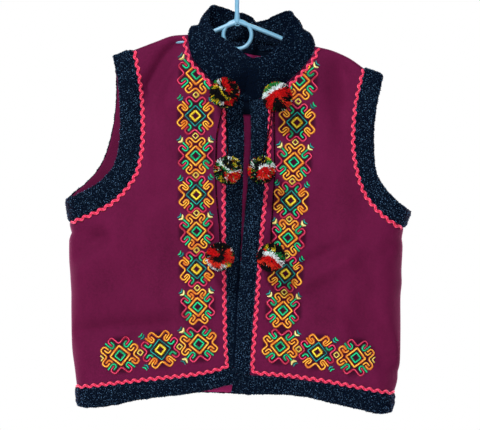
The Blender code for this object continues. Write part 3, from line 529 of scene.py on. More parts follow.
def fold_height(folds, x, z):
    total = np.zeros_like(x)
    for x0, z0, x1, z1, half_width, height in folds:
        run_x, run_z = x1 - x0, z1 - z0
        run = math.hypot(run_x, run_z)
        along = ((x - x0) * run_x + (z - z0) * run_z) / run
        across = ((x - x0) * run_z - (z - z0) * run_x) / run
        past = np.maximum(np.maximum(-along, along - run), 0.0)
        total += height * np.exp(-(across / half_width) ** 2 - (past / (1.4 * half_width)) ** 2)
    return total


def swell_height(swells, x, z):
    return sum(height * np.exp(-((x - sx) / wide) ** 2 - ((z - sz) / high) ** 2)
               for sx, sz, wide, high, height in swells)


def soft_waviness(x, z):
    return sum(height * np.sin((x * math.cos(turn) + z * math.sin(turn)) * 2 * math.pi / length
                               + phase) for turn, length, phase, height in WAVINESS)


def hang_depth(x, z, full_depth, folds, swells, creases):
    """Depth grows with the fall below the shoulder line, and so does each kind of relief."""
    fall = np.interp(x, *SHOULDER_LINE) - z
    depth = TOP_ROUND * quarter_round(fall / TOP_ROUND)
    slack = 1 - (1 - np.clip(fall / FALL_LENGTH, 0.0, 1.0)) ** 2
    depth = depth + (full_depth - TOP_ROUND) * slack
    loose = np.clip(fall / FOLDS_FROM, 0.0, 1.0)
    depth += loose * (fold_height(folds, x, z) + soft_waviness(x, z))
    depth += np.clip(fall / CREASES_FROM, 0.0, 1.0) * fold_height(creases, x, z)
    depth += np.minimum(fall / SWELLS_FROM, 1.0) * swell_height(swells, x, z)
    right, left = [np.interp(z, *OUTLINES[side]) for side in SIDES]
    inside = np.minimum(x - right, left - x)
    return np.maximum(depth, 0.0) * quarter_round(inside / SIDE_ROUND)


def depth_of(side, x, z):
    if side == "back":
        return hang_depth(x, z, BACK_DEPTH, BACK_FOLDS, BACK_SWELLS, BACK_CREASES)
    depth = hang_depth(x, z, FRONT_DEPTH, FRONT_FOLDS, FRONT_SWELLS, FRONT_CREASES)
    low = ease((LAP_TOP - z) / LAP_GROWS)
    if side == "left":
        return depth + low * ease((LAP_ENDS[side] - x) / LAP_FADES) * LAP_LIFT * LIFT_SHARE
    return depth - low * ease((x - LAP_ENDS[side]) / LAP_FADES) * LAP_LIFT * (1 - LIFT_SHARE)


def hang(side, plan, inset=0.0, folded=None, step=0.5):
    """Points on a panel's outer face, and their normals, from points of the pattern."""
    plan = np.asarray(plan, float)
    x, z = plan[..., 0], plan[..., 1]
    facing = 1.0 if side == "back" else -1.0
    depth = depth_of(side, x, z) - inset
    slope_x = (depth_of(side, x + step, z) - depth_of(side, x - step, z)) / (2 * step)
    slope_z = (depth_of(side, x, z + step) - depth_of(side, x, z - step)) / (2 * step)
    normals = np.stack([-slope_x, np.full_like(x, facing), -slope_z], axis=-1)
    if folded is not None:
        depth = np.where(folded, 0.0, depth)
        normals[folded, 1] = 0.0
    for nip_x, nip_z, high, pull in SIDE_NIPS:
        x = x + pull * np.exp(-((x - nip_x) / NIP_WIDTH) ** 2 - ((z - nip_z) / high) ** 2)
    return np.stack([x, facing * (depth + SEAM_GAP / 2), z], axis=-1), unit(normals)


# ------- Meshes -------
class Pile:
    """Points and faces of one piece, gathered part by part."""

    def __init__(self):
        self.points, self.uvs, self.quads, self.slots = [], [], [], []
        self.count = 0

    def add(self, points, faces, uvs=None, slot=0):
        points = np.asarray(points, float).reshape(-1, 3)
        faces = np.asarray(faces, int)
        if faces.shape[1] == 3:
            faces = np.column_stack([faces, np.full(len(faces), -1 - self.count)])
        self.points.append(points)
        self.uvs.append(np.zeros((len(points), 2)) if uvs is None else uvs.reshape(-1, 2))
        self.quads.append(faces + self.count)
        self.slots.append(np.full(len(faces), slot))
        self.count += len(points)

    def grid(self, points, closed=False, uvs=None, slot=0, flip=False):
        """Faces over a grid of points; closed joins its last column to its first."""
        rows, columns = points.shape[:2]
        index = np.arange(rows * columns).reshape(rows, columns)
        if closed:
            index = np.column_stack([index, index[:, 0]])
        faces = np.stack([index[:-1, :-1], index[:-1, 1:], index[1:, 1:], index[1:, :-1]],
                         axis=-1).reshape(-1, 4)
        self.add(points, faces[:, ::-1] if flip else faces, uvs, slot)

    def build(self, name, materials, slot_name, replaced=None):
        points, faces = np.vstack(self.points) * MM, np.vstack(self.quads)
        mesh = bpy.data.meshes.new(name)
        mesh.vertices.add(len(points))
        mesh.vertices.foreach_set("co", points.ravel())
        sizes = np.where(faces[:, 3] < 0, 3, 4)
        corners = faces[faces >= 0]
        mesh.loops.add(len(corners))
        mesh.polygons.add(len(faces))
        for target, key, values in ((mesh.loops, "vertex_index", corners),
                                    (mesh.polygons, "loop_start", running_total(sizes)[:-1]),
                                    (mesh.polygons, "material_index", np.concatenate(self.slots))):
            target.foreach_set(key, values.astype(np.int32))
        mesh.polygons.foreach_set("use_smooth", np.full(len(faces), True))
        layer = mesh.uv_layers.new(name="UVMap")
        layer.data.foreach_set("uv", np.vstack(self.uvs)[corners].ravel())
        mesh.update(calc_edges=True)
        mesh.validate()
        for material in materials:
            mesh.materials.append(material)
        piece = add_object(name, mesh)
        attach(piece, "root")
        if replaced:
            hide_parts(replaced)
        return piece


def sweep(pile, centres, sides, ups, profile, slot=0, closed=True, swell=None, along=None):
    """A profile of (side, up) offsets carried along a line; a closed one has its ends filled."""
    profile = np.asarray(profile, float)
    size = len(profile)
    scale = np.ones(len(centres)) if swell is None else swell
    offsets = sides[:, None, :] * profile[None, :, 0:1] + ups[:, None, :] * profile[None, :, 1:2]
    points = centres[:, None, :] + offsets * scale[:, None, None]
    run = run_lengths(centres) if along is None else along
    uvs = np.stack(np.broadcast_arrays(run[:, None], np.linspace(0, 1, size)[None, :]), axis=-1)
    pile.grid(points, closed, uvs, slot)
    if closed:
        first = np.arange(size)
        fan = np.stack([first, (first + 1) % size, np.full(size, size)], axis=1)
        for ring, order in ((0, -1), (len(centres) - 1, 1)):
            pile.add(np.vstack([points[ring], centres[ring][None]]), fan[:, ::order],
                     np.tile([run[ring], 0.5], (size + 1, 1)), slot)


def sideways(line):
    """Directions across a plan line, to the left of its own."""
    along = unit(np.gradient(line, axis=0))
    return np.stack([-along[:, 1], along[:, 0]], axis=1)


def offset_line(line, inset, step=1.0):
    """A plan line moved sideways: to the left of its own direction when inset is above 0."""
    share = np.linspace(0, 1, max(int(run_lengths(line)[-1] / step), 4) + 1)
    even = at_shares(line, share)
    insets = np.atleast_1d(inset)
    inset = np.interp(share, np.linspace(0, 1, len(insets)), insets)
    return even + sideways(even) * inset[:, None]


def frames_on(side, line, lift=0.0):
    """Centres, side directions and normals along a plan line on a panel."""
    points, normals = hang(side, line)
    along = unit(np.gradient(points, axis=0))
    sides = unit(np.cross(along, normals))
    ups = unit(np.cross(sides, along))
    return points + ups * lift, sides, ups


def tube_frames(line):
    """Directions across a line that don't spin along it."""
    along = unit(np.gradient(line, axis=0))
    sides = np.empty_like(line)
    side = unit(np.cross(along[0], (0.3, 1.0, 0.2)))
    for k in range(len(line)):
        side = side - along[k] * (side @ along[k])
        side = side / np.linalg.norm(side)
        sides[k] = side
    return sides, np.cross(sides, along)


# ------- Cloth panels -------
SIDE_ROWS, ARM_ROWS, NECK_ROWS = 44, 72, 30
FRONT_ROWS = SIDE_ROWS + ARM_ROWS - NECK_ROWS
FRONT_COLUMNS, SHOULDER_COLUMNS, BACK_NECK_COLUMNS = 50, 26, 44
# Spacings: (how many, how much finer at the start and at the end, over what share).
ARM_SPACING = (ARM_ROWS, 0.3, 0.88, 0.04)
NECK_FINENESS, BACK_NECK_FINENESS = (0.0, 0.8, 0.08), (0.7, 0.7, 0.05)
FRONT_HEM_SPACING = (FRONT_COLUMNS, 0.85, 0.0, 0.05)
BACK_HEM_SPACING = (2 * SHOULDER_COLUMNS + BACK_NECK_COLUMNS, 0.85, 0.85, 0.03)
WELD = 0.00002
# The cloth stops this share short of a bound edge, inside the band that wraps it.
TO_EDGE = np.linspace(0, 0.97, 9)
TO_FRONT_EDGE = np.linspace(0, 0.88, 9)


def coons(left, right, bottom, top):
    """Plan points inside four divided sides."""
    t = np.linspace(0, 1, len(left))[:, None, None]
    runs, bows = [], []
    for line in (bottom, top):
        run = (run_lengths(line) / run_lengths(line)[-1])[:, None]
        runs.append(run)
        bows.append(line - (line[0] * (1 - run) + line[-1] * run))
    s = runs[0] * (1 - t) + runs[1] * t
    grid = left[:, None] * (1 - s) + right[:, None] * s + bows[0] * (1 - t) + bows[1] * t
    grid[:, 0], grid[:, -1], grid[0], grid[-1] = left, right, bottom, top
    return grid


def strip(outer, inner, fractions):
    """Rows of plan points from an inner line to an outer one."""
    return inner[:, None, :] + (outer - inner)[:, None, :] * fractions[None, :, None]


def folded_rows(plan, rows):
    """A mark for each point of a grid, set where its row lies on a fold."""
    folded = np.zeros(plan.shape[:-1], bool)
    folded[list(rows)] = True
    return folded


def turned_in(height, across):
    """The front edges turn in where the collar is hooked: more towards the edge."""
    deep = RECESS * ease((height - RECESS_FOOT) / RECESS_FADE)
    return deep * np.interp(across, (0.0, 0.5, 1.0), (0.0, 0.25, 1.0))


def front_inset(plan, across):
    return turned_in(plan[:, :1, 1], across[None, :])


def cut(name, *spacing):
    return at_shares(pattern(name), shares(*spacing))


def arm_lines(side, seam, edge):
    """The side seam with the armhole's seam above it, and the armhole as a strip."""
    seam = cut(seam, *ARM_SPACING)
    arm = strip(cut(edge, *ARM_SPACING), seam, TO_EDGE)
    return np.vstack([cut(side + "_side", SIDE_ROWS), seam[1:]]), arm


def bound_strip(side, plan, rows):
    return hang(side, plan, folded=folded_rows(plan, rows))[0]


def merge_grids(name, grids, replaced):
    """One cloth panel from grids that share their edges, thickened inwards."""
    pile = Pile()
    for points, flip in grids:
        pile.grid(points, flip=flip)
    piece = pile.build(name, CLOTH, "cloth", replaced)
    work = bmesh.new()
    work.from_mesh(piece.data)
    bmesh.ops.remove_doubles(work, verts=work.verts, dist=WELD)
    work.to_mesh(piece.data)
    work.free()
    thick = piece.modifiers.new("cloth wall", "SOLIDIFY")
    thick.thickness = CLOTH_WALL * MM
    thick.offset = -1.0
    thick.material_offset = thick.material_offset_rim = 1
    return piece


def make_front(side):
    left, arm = arm_lines(side, side + "_armhole_seam", side + "_armhole")
    front_seam = cut(side + "_front_seam", FRONT_ROWS)
    front_edge = cut(side + "_front_edge", FRONT_ROWS)
    neck = cut(side + "_neck", NECK_ROWS, *NECK_FINENESS)
    hem_seam = cut(side + "_hem_seam", *FRONT_HEM_SPACING)
    hem_edge = cut(side + "_hem", *FRONT_HEM_SPACING)
    main = coons(left, np.vstack([front_seam, neck[1:]]), hem_seam,
                 cut(side + "_shoulder", FRONT_COLUMNS))
    folded = folded_rows(main, [-1])
    folded[:SIDE_ROWS + 1, 0] = True
    front = strip(front_edge, front_seam, TO_FRONT_EDGE)
    corner_inner = front_seam[0] + (hem_edge[-1] - front_seam[0]) * TO_EDGE[:, None]
    corner_low = front_edge[0] + hem_edge[-1] - front_seam[0]
    corner_outer = front_edge[0] + (corner_low - front_edge[0]) * TO_EDGE[:, None]
    corner = strip(corner_outer, corner_inner, TO_FRONT_EDGE)
    turn = side == "left"
    return merge_grids("cloth_front_" + side, [
        (hang(side, main, folded=folded)[0], turn),
        (bound_strip(side, arm, (0, -1)), not turn),
        (hang(side, front, front_inset(front, TO_FRONT_EDGE))[0], turn),
        (bound_strip(side, strip(hem_edge, hem_seam, TO_EDGE), (0,)), turn),
        (hang(side, corner)[0], not turn)], "front_" + side)


def make_back():
    (left, right_arm), (right, left_arm) = [
        arm_lines(side, "back_seam_" + side, "back_armhole_" + side) for side in SIDES]
    top = np.vstack([cut("right_shoulder", SHOULDER_COLUMNS),
                     cut("back_neck", BACK_NECK_COLUMNS, *BACK_NECK_FINENESS)[1:],
                     cut("left_shoulder", SHOULDER_COLUMNS)[::-1][1:]])
    hem_seam = cut("back_hem_seam", *BACK_HEM_SPACING)
    main = coons(left, right, hem_seam, top)
    folded = np.zeros(main.shape[:2], bool)
    folded[:SIDE_ROWS + 1, 0] = folded[:SIDE_ROWS + 1, -1] = True
    folded[-1, :SHOULDER_COLUMNS + 1] = folded[-1, -SHOULDER_COLUMNS - 1:] = True
    hem = strip(cut("back_hem", *BACK_HEM_SPACING), hem_seam, TO_EDGE)
    return merge_grids("cloth_back", [
        (hang("back", main, folded=folded)[0], True),
        (bound_strip("back", right_arm, (0, -1)), False),
        (bound_strip("back", left_arm, (0, -1)), True),
        (bound_strip("back", hem, (0, -1)), True)], "back_panel")


# ------- Plush: bands and collar -------
LATTICE = np.random.RandomState(11).rand(32, 32, 32)
CURL_BENDS = 2
CURL_SPACING, BACK_SPACING, COARSE_SPACING, TAPE_SPACING = 1.88, 1.88 * 1.3, 2.3, 2.1
CURL_REACH, CURL_THICKNESS, CURL_TAPER = (0.5, 0.9), 0.32, (0.8, 1.15, 0.7)
# How high a loop's middle stands, as a share of its reach.
CURL_MIDDLE = 0.35
# Curls lighter than LIGHT_TONE are thicker by LIGHT_EXTRA.
LIGHT_TONE, LIGHT_EXTRA = 0.8, 0.25
# Ranges, in degrees: how far a curl leans out, where its loop starts and how far it goes.
CURL_LEAN, CURL_START, CURL_TURN = (15, 80), (-70, -20), (200, 290)
# How rare light curls are: above 1 they are fewer.
COLLAR_RARE, FRONT_RARE = 1.8, 0.75
THIRDS = (0.0, 2.0944, 4.1888)  # angles a third of a turn apart
# A band's profile, as shares of its width and heights over the cloth, and the lip that
# wraps the bound edge: (outwards, height).
BAND_SHARES = np.array([-0.01, 0.02, 0.06, 0.13, 0.22, 0.32, 0.42, 0.52, 0.62, 0.72, 0.82, 0.91,
                        0.97, 1.0])
BAND_HEIGHTS = np.array([0.1, 1.5, 2.5, 3.1, 3.5, 3.7, 3.8, 3.8, 3.8, 3.7, 3.5, 3.1, 2.6, 2.2])
BAND_LIP = [(0.6, 1.5), (0.9, 0.4), (0.8, -0.7), (0.3, -1.7), (-0.5, -2.3), (-1.2, -2.4)]
# The ground's lumps, as (size, height) of coarse and fine ones, and how deep it lies under
# the curls.
BAND_LUMPS, BAND_SUNK = (5.0, 1.1, 2.2, 1.1), 0.5
COLLAR_LUMPS, COLLAR_SUNK = (6.0, 1.4, 2.4, 1.0), 0.6
# How much painted shadow darkens the curls beside the lap, within how far, over what, and below
# where.
LAP_SHADE, LAP_SHADE_REACH, LAP_SHADE_FADE, LAP_SHADE_TOP = 0.9, 4.0, 2.5, -400
# How far below its seam each hem band starts: at the side, half way along, at the front.
HEM_DROPS = {"right": (2.8, 1.2, 0.0), "left": (0.8, 0.4, 0.0)}


def value_noise(points, size):
    """Smooth noise from 0 to 1 with bumps of about this size."""
    place = np.asarray(points, float) / size
    base = np.floor(place).astype(int)
    share = ease(place - base)
    total = np.zeros(place.shape[:-1])
    for corner in np.ndindex(2, 2, 2):
        weight = 1.0
        for axis, far in enumerate(corner):
            weight = weight * (share[..., axis] if far else 1 - share[..., axis])
        i, j, k = np.moveaxis((base + corner) % 32, -1, 0)
        total += weight * LATTICE[i, j, k]
    return total


def lumpy(points, coarse, high, fine, low):
    """Uneven ground: two sizes of lumps."""
    return (value_noise(points, coarse) - 0.5) * high + (value_noise(points, fine) - 0.5) * low


def grid_normals(points, toward):
    normals = unit(np.cross(np.gradient(points, axis=1), np.gradient(points, axis=0)))
    return normals if np.sum(normals * toward) > 0 else -normals


def scatter(points, count):
    """Evenly spread spots on a grid of points, as a way to blend its values, and its area."""
    a, b, c, d = points[:-1, :-1], points[:-1, 1:], points[1:, 1:], points[1:, :-1]
    area = np.linalg.norm(np.cross(c - a, d - b), axis=-1).ravel() / 2
    total = np.cumsum(area)
    stops = (np.arange(count) + rng.rand(count)) / count * total[-1]
    cell = np.minimum(np.searchsorted(total, stops), len(area) - 1)
    i, j = np.divmod(cell, points.shape[1] - 1)
    u, v = rng.rand(count)[:, None], rng.rand(count)[:, None]

    def blend(values):
        return ((values[i, j] * (1 - v) + values[i, j + 1] * v) * (1 - u)
                + (values[i + 1, j] * (1 - v) + values[i + 1, j + 1] * v) * u)

    return blend, total[-1]


def three_sided(centres, first, second, width):
    """Points round each strand's centres, three to a ring, and the faces of one strand."""
    rings = [centres + (first * math.cos(angle) + second * math.sin(angle)) * width[..., None]
             for angle in THIRDS]
    bends = centres.shape[1] - 1
    faces = [[3 * k + a, 3 * k + (a + 1) % 3, 3 * k + 3 + (a + 1) % 3, 3 * k + 3 + a]
             for k in range(bends) for a in range(3)]
    return np.stack(rings, axis=2), np.array(faces)


def repeat_faces(faces, count, size):
    return (faces[None] + (np.arange(count) * size)[:, None, None]).reshape(-1, faces.shape[1])


def add_curls(pile, points, normals, spacing, pressed=None, rare=1.0):
    """Short curls of pile, each a small open loop that leans out of the ground.

    Each has its own tone, kept as UV X; painted shadow darkens the tones where it is given.
    """
    area = scatter(points, 1)[1]
    count = max(int(area / spacing ** 2), 1)
    blend = scatter(points, count)[0]
    spots, out = blend(points), unit(blend(normals))
    aim = unit(np.cross(out, unit(rng.normal(size=(count, 3)))))
    aside = np.cross(out, aim)
    lean = np.radians(rng.uniform(*CURL_LEAN, count))[:, None]
    rise = out * np.cos(lean) + aside * np.sin(lean)
    axis = np.cross(aim, rise)
    size = rng.uniform(*CURL_REACH, count)[:, None]
    first = rng.uniform(*CURL_START, count)
    last = first + rng.uniform(*CURL_TURN, count)
    middle = spots + rise * size * CURL_MIDDLE
    along = np.linspace(0, 1, CURL_BENDS + 1)
    turn = np.radians(first[:, None] + (last - first)[:, None] * along)
    radial = aim[:, None, :] * np.cos(turn)[..., None] + rise[:, None, :] * np.sin(turn)[..., None]
    centres = middle[:, None, :] + radial * size[:, None, :]
    tone = rng.rand(count) ** rare
    # Painted shadow: darker curls where a shade is given for them.
    if pressed is not None:
        tone *= pressed(spots)
    width = rng.uniform(0.8, 1.2, count) + LIGHT_EXTRA * (tone > LIGHT_TONE)
    width = CURL_THICKNESS * width[:, None]
    width = width * np.interp(along, (0, 0.5, 1), CURL_TAPER)
    tube, faces = three_sided(centres, radial, axis[:, None, :], width)
    uvs = np.stack(np.broadcast_arrays(tone[:, None, None], along[None, :, None], np.zeros(3)),
                   axis=-1)[..., :2]
    pile.add(tube, repeat_faces(faces, count, 3 * (CURL_BENDS + 1)), uvs, 1)


def make_band(name, side, outer, inner, replaced, inset=None, rows=(), spacing=CURL_SPACING,
              reach=1.0, **curls):
    """A plush band on a zone of a panel, wrapped round the panel's edge."""
    plan = strip(outer, inner, BAND_SHARES * reach)
    drawn = 0.0 if inset is None else inset(plan, np.clip(BAND_SHARES, 0, 1))
    base, normals = hang(side, plan, drawn, folded_rows(plan, rows))
    edge, upwards = base[:, -1], normals[:, -1]
    outwards = edge - base[:, -3]
    outwards = unit(outwards - upwards * np.sum(outwards * upwards, -1, keepdims=True))
    lip = np.stack([edge + outwards * out + upwards * height for out, height in BAND_LIP], axis=1)
    points = np.concatenate([base + normals * BAND_HEIGHTS[None, :, None], lip], axis=1)
    facing = np.concatenate([normals, normals[:, -1:].repeat(len(BAND_LIP), 1)], 1)
    outside = grid_normals(points, facing)
    ground = points + outside * (lumpy(points, *BAND_LUMPS) - BAND_SUNK)[..., None]
    pile = Pile()
    pile.grid(ground)
    add_curls(pile, ground[:, :-2], outside[:, :-2], spacing, **curls)
    return pile.build(name, PLUSH, "plush", replaced)


def pair(outer, inner, spacing=2.8):
    """Two pattern lines divided alike."""
    outer, inner = pattern(outer), pattern(inner)
    count = max(int(run_lengths(inner)[-1] / spacing), 2)
    return even_points(outer, count), even_points(inner, count)


def lap_shadow(spots):
    """How light the curls stay beside the left front's edge, which lies on them low down: painted
    shadow of that edge.
    """
    edge_x = np.interp(spots[:, 2], *in_order(pattern("left_front_edge"), 1))
    beside = edge_x - spots[:, 0]
    near = np.clip((LAP_SHADE_REACH - beside) / LAP_SHADE_FADE, 0, 1)
    return 1 - LAP_SHADE * near * (spots[:, 2] < LAP_SHADE_TOP)


def hem_lines(side):
    """The hem band's edge and seam, carried on round the front corner."""
    outer, inner = pair(side + "_hem", side + "_hem_seam")
    drop = np.interp(np.linspace(0, 1, len(inner)), (0, 0.5, 1), HEM_DROPS[side])
    inner = inner + unit(outer - inner) * drop[:, None]
    corner = inner[-1]
    on = (pattern(side + "_front_edge")[0] - corner) * np.linspace(0, 1, 10)[1:, None]
    return np.vstack([outer, outer[-1] + on]), np.vstack([inner, corner + on])


def make_bands():
    made = {"right": [], "left": [], "back": []}
    for side in SIDES:
        made[side] = [
            make_band("plush_armhole_front_" + side, side,
                      *pair(side + "_armhole", side + "_armhole_seam"),
                      "band_armhole_front_" + side, rows=(0, -1)),
            # The right front's band has painted shadow beside the left front's lapped edge.
            make_band("plush_front_" + side, side,
                      *pair(side + "_front_edge", side + "_front_seam"), "band_front_" + side,
                      front_inset, reach=0.94, pressed=lap_shadow if side == "right" else None,
                      rare=FRONT_RARE),
            make_band("plush_hem_" + side, side, *hem_lines(side), "band_hem_" + side, rows=(0,)),
        ]
        made["back"].append(
            make_band("plush_armhole_back_" + side, "back",
                      *pair("back_armhole_" + side, "back_seam_" + side),
                      "band_armhole_back_" + side, rows=(0, -1), spacing=BACK_SPACING))
    made["back"].append(make_band("plush_hem_back", "back", *pair("back_hem", "back_hem_seam"),
                                  "band_hem_back", rows=(0, -1), spacing=BACK_SPACING))
    return made


# The collar's top, from the right end round to the left: (share of the way, x, y, z).
COLLAR_TOP = [
    (0.00, 22.6, -34, -150), (0.06, 9, -34, -143), (0.12, -6, -33, -131), (0.18, -21, -30, -120),
    (0.23, -34, -23, -111), (0.28, -43, -10, -92), (0.32, -40.5, 4, -69), (0.38, -23, 18, -70.5),
    (0.44, -5, 24, -76.5), (0.50, 14, 26, -78.5), (0.53, 23, 26, -80.5), (0.555, 30, 26, -86),
    (0.59, 43, 23, -86), (0.62, 55, 18, -82), (0.68, 74, 7, -76), (0.72, 79.5, -5, -83),
    (0.77, 72, -17, -104), (0.82, 66, -26, -120), (0.88, 56, -31, -134), (0.94, 42, -34, -144),
    (1.00, 24.2, -34, -149),
]
COLLAR_SECTIONS, COLLAR_ROWS = 190, 34
COLLAR_BULGE, COLLAR_WALL = 8.0, 4.0
# How much more the bulge faces forwards or backwards than sideways, and how far down.
BULGE_FORWARD, BULGE_DOWN = 1.6, -0.3
NECK_CENTRE = np.array([18.0, -3.0, -130.0])
# How far inside the outer face each row of the rolled rim lies.
RIM_DEPTHS = (0.15, 0.6, 1.2, 2.0, 2.8, 3.4, 3.85)
# Soft places where the plush stands out: (x, z, size, height).
COLLAR_SWELLS = [(-68, -99, 9, 3.0), (-61, -93, 6.5, -4.5), (105, -114, 14, 3.0),
                 (98, -101, 7, -3.0), (60, -160, 22, 2.0), (-20, -165, 20, 1.5),
                 (75, -120, 12, -2.0), (5, -150, 14, -1.5)]
# The top of the collar's back dips, where its Y is above BACK_FROM: (x, half-width, depth).
COLLAR_DIPS, BACK_FROM = [(27, 17, 4.5), (26, 3.5, 2.5)], 5
# The two ends are hooked together: they meet edge to edge, the left one over the right.
# (which end, where the sections beside it are drawn to, where it stops itself), both from
# the middle between the ends.
HOOKED_ENDS = [(0, (-1.5, 1.0, 0), (0.5, 1.0, 0)), (-1, (-1.5, -1.5, 0), (-2.5, -1.5, 0))]
HOOKED_SECTIONS = 10
HOOK_X, HOOK_Z, HOOK_WIDTH, HOOK_HEIGHT = 13, -197, 13, 30
# How much painted shadow darkens the curls there, how evenly, and in front of which Y.
HOOK_SHADE, HOOK_SPREAD, HOOK_FRONT = 0.95, 1.8, -20


def neck_edge(side):
    """The fronts' top edge from the front edge to the shoulder, with its normals."""
    across = np.linspace(1, 0, 12)
    seam, edge = pattern(side + "_front_seam")[-1], pattern(side + "_front_edge")[-1]
    first = hang(side, seam + (edge - seam) * across[:, None], turned_in(edge[1], across))
    line = cut(side + "_neck", 60, *NECK_FINENESS)[1:]
    second = hang(side, line, folded=folded_rows(line, [-1]))
    return [np.vstack(both) for both in zip(first, second)]


def collar_base():
    """Evenly spaced places round the neck edge, with the panels' normals there."""
    right, left = neck_edge("right"), neck_edge("left")
    back = hang("back", cut("back_neck", 90, *BACK_NECK_FINENESS)[1:-1])
    spots, normals = [np.vstack([a, b, c[::-1]]) for a, b, c in zip(right, back, left)]
    keep = [0]
    for k in range(1, len(spots)):
        if np.linalg.norm(spots[k] - spots[keep[-1]]) > 1.0:
            keep.append(k)
    run = run_lengths(spots[keep])
    even = np.linspace(0, run[-1], COLLAR_SECTIONS)
    return (each_axis(even, run, spots[keep]), unit(each_axis(even, run, normals[keep])),
            even / even[-1])


def collar_surface():
    """Rows of the collar's outer face: one for each section round the neck, from base to top."""
    spots, normals, turn = collar_base()
    line = smooth_through(COLLAR_TOP, 6)
    top = each_axis(turn, line[:, 0], line[:, 1:])
    ahead = np.vstack([spots[1:], spots[-1:]]) - np.vstack([spots[:1], spots[:-1]])
    into = unit(np.cross(ahead, normals))
    into = np.where(np.sum(into * (top - spots), -1, keepdims=True) < 0, -into, into)
    base = spots + into * SEAM_GAP * 2 + normals * 1.0
    outwards = spots - NECK_CENTRE
    outwards = unit(outwards * (1.0, BULGE_FORWARD, 0.0))
    swing = (base + top) / 2 + (outwards + np.array([0, 0, BULGE_DOWN])) * COLLAR_BULGE
    dip = sum(np.exp(-((top[:, 0] - x) / wide) ** 2) * deep for x, wide, deep in COLLAR_DIPS)
    top[:, 2] -= np.where(top[:, 1] > BACK_FROM, dip, 0.0)
    t = np.linspace(0, 1, COLLAR_ROWS)[None, :, None]
    points = (base[:, None] * (1 - t) ** 2 + swing[:, None] * 2 * t * (1 - t)
              + top[:, None] * t ** 2)
    meet = (points[0] + points[-1]) / 2
    for end, drawn, stop in HOOKED_ENDS:
        pull = meet + drawn - points[end]
        for k in range(1, HOOKED_SECTIONS):
            points[end + k if end == 0 else end - k] += pull * ease(1 - k / HOOKED_SECTIONS)
        points[end] = meet + stop
    outward = grid_normals(points, points - NECK_CENTRE)
    for x, z, size, height in COLLAR_SWELLS:
        gap = np.hypot(points[..., 0] - x, points[..., 2] - z)
        points = points + outward * (height * np.exp(-(gap / size) ** 2))[..., None]
    return points, outward


def hooked(spots):
    """How light the curls stay where the collar's ends are hooked together: painted shadow in the
    recess there.
    """
    near = np.exp(-((spots[:, 0] - HOOK_X) / HOOK_WIDTH) ** 2
                  - ((spots[:, 2] - HOOK_Z) / HOOK_HEIGHT) ** 2)
    return 1 - HOOK_SHADE * np.clip(HOOK_SPREAD * near * (spots[:, 1] < HOOK_FRONT), 0, 1)


def make_collar():
    """The outer face, a rolled rim and the inner face, and the two closed ends."""
    points, outward = collar_surface()
    up, half = unit(points[:, -1] - points[:, -3]), COLLAR_WALL / 2
    rim = np.stack([points[:, -1] - outward[:, -1] * depth
                    + up * math.sqrt(max(half ** 2 - (depth - half) ** 2, 0.0))
                    for depth in RIM_DEPTHS], axis=1)
    inner = (points - outward * COLLAR_WALL)[:, ::-1]
    shell = np.concatenate([points, rim, inner], axis=1)
    rolled = outward[:, -1:].repeat(len(RIM_DEPTHS), 1) * 0.2 + up[:, None]
    facing = unit(np.concatenate([outward, rolled, -outward[:, ::-1]], axis=1))
    ground = shell + facing * (lumpy(shell, *COLLAR_LUMPS) - COLLAR_SUNK)[..., None]
    pile = Pile()
    pile.grid(ground)
    # The ends and the outer face have painted shadow where the ends are hooked.
    for end, beside, order in ((0, 1, 1), (-1, -2, -1)):
        face = np.stack([ground[end, :COLLAR_ROWS], ground[end, ::-1][:COLLAR_ROWS]], axis=0)
        pile.grid(face[::order])
        out = unit(np.broadcast_to(points[end, 10] - points[beside, 10], face.shape))
        add_curls(pile, face, out, TAPE_SPACING, hooked, COLLAR_RARE)
    hidden = 4 - COLLAR_ROWS
    add_curls(pile, ground[:, :hidden], facing[:, :hidden], CURL_SPACING, hooked, COLLAR_RARE)
    add_curls(pile, ground[:, hidden:], facing[:, hidden:], COARSE_SPACING)
    return pile.build("plush_collar", PLUSH, "plush", "collar")


TAPE_PROFILE = [(12, -2.0), (12, 1.2), (10, 2.6), (7.5, 2.9), (4.6, 2.6), (3.4, 1.0), (2.4, 2.1),
                (1.1, 2.3), (0.0, 1.0), (-1.0, 2.0), (-2.4, 2.0), (-3.2, 0.8), (-3.2, -0.2)]
# How far the tape sags on its way round the neck: (x, sag).
TAPE_SAG = ((-40, 12, 40, 60), (0.0, -0.6, 4.2, 1.0))
CLOSING_X, CLOSING_Z, CLOSING_WALL = np.linspace(-4, 30, 14), np.linspace(-168, -227, 26), 1.6
# Its Y at its middle, how much further back its long edges lie, and how Y rises with Z.
CLOSING_MIDDLE, CLOSING_HALF = (13, -200), 17
CLOSING_Y, CLOSING_CURVE, CLOSING_SLOPE = -12.0, 2.0, 0.02


def make_neck_tape():
    """The two welts of the tape that covers the back neck seam inside."""
    points, normals = hang("back", offset_line(pattern("back_neck")[3:-3], 0.0, 1.5))
    inwards = -normals
    sides = unit(np.cross(inwards, unit(np.gradient(points, axis=0))))
    sides = np.where(sides[:, 2:] < 0, -sides, sides)
    sag = np.interp(points[:, 0], *TAPE_SAG)
    inner = points + inwards * CLOTH_WALL - sides * sag[:, None]
    pile = Pile()
    sweep(pile, inner, sides, inwards, TAPE_PROFILE, along=np.zeros(len(points)))
    zone = np.stack([inner + sides * across + inwards * high
                     for across, high in TAPE_PROFILE[1:5]], axis=1)
    add_curls(pile, zone, np.broadcast_to(inwards[:, None], zone.shape), TAPE_SPACING)
    return pile.build("neck_tape", PLUSH, "plush")


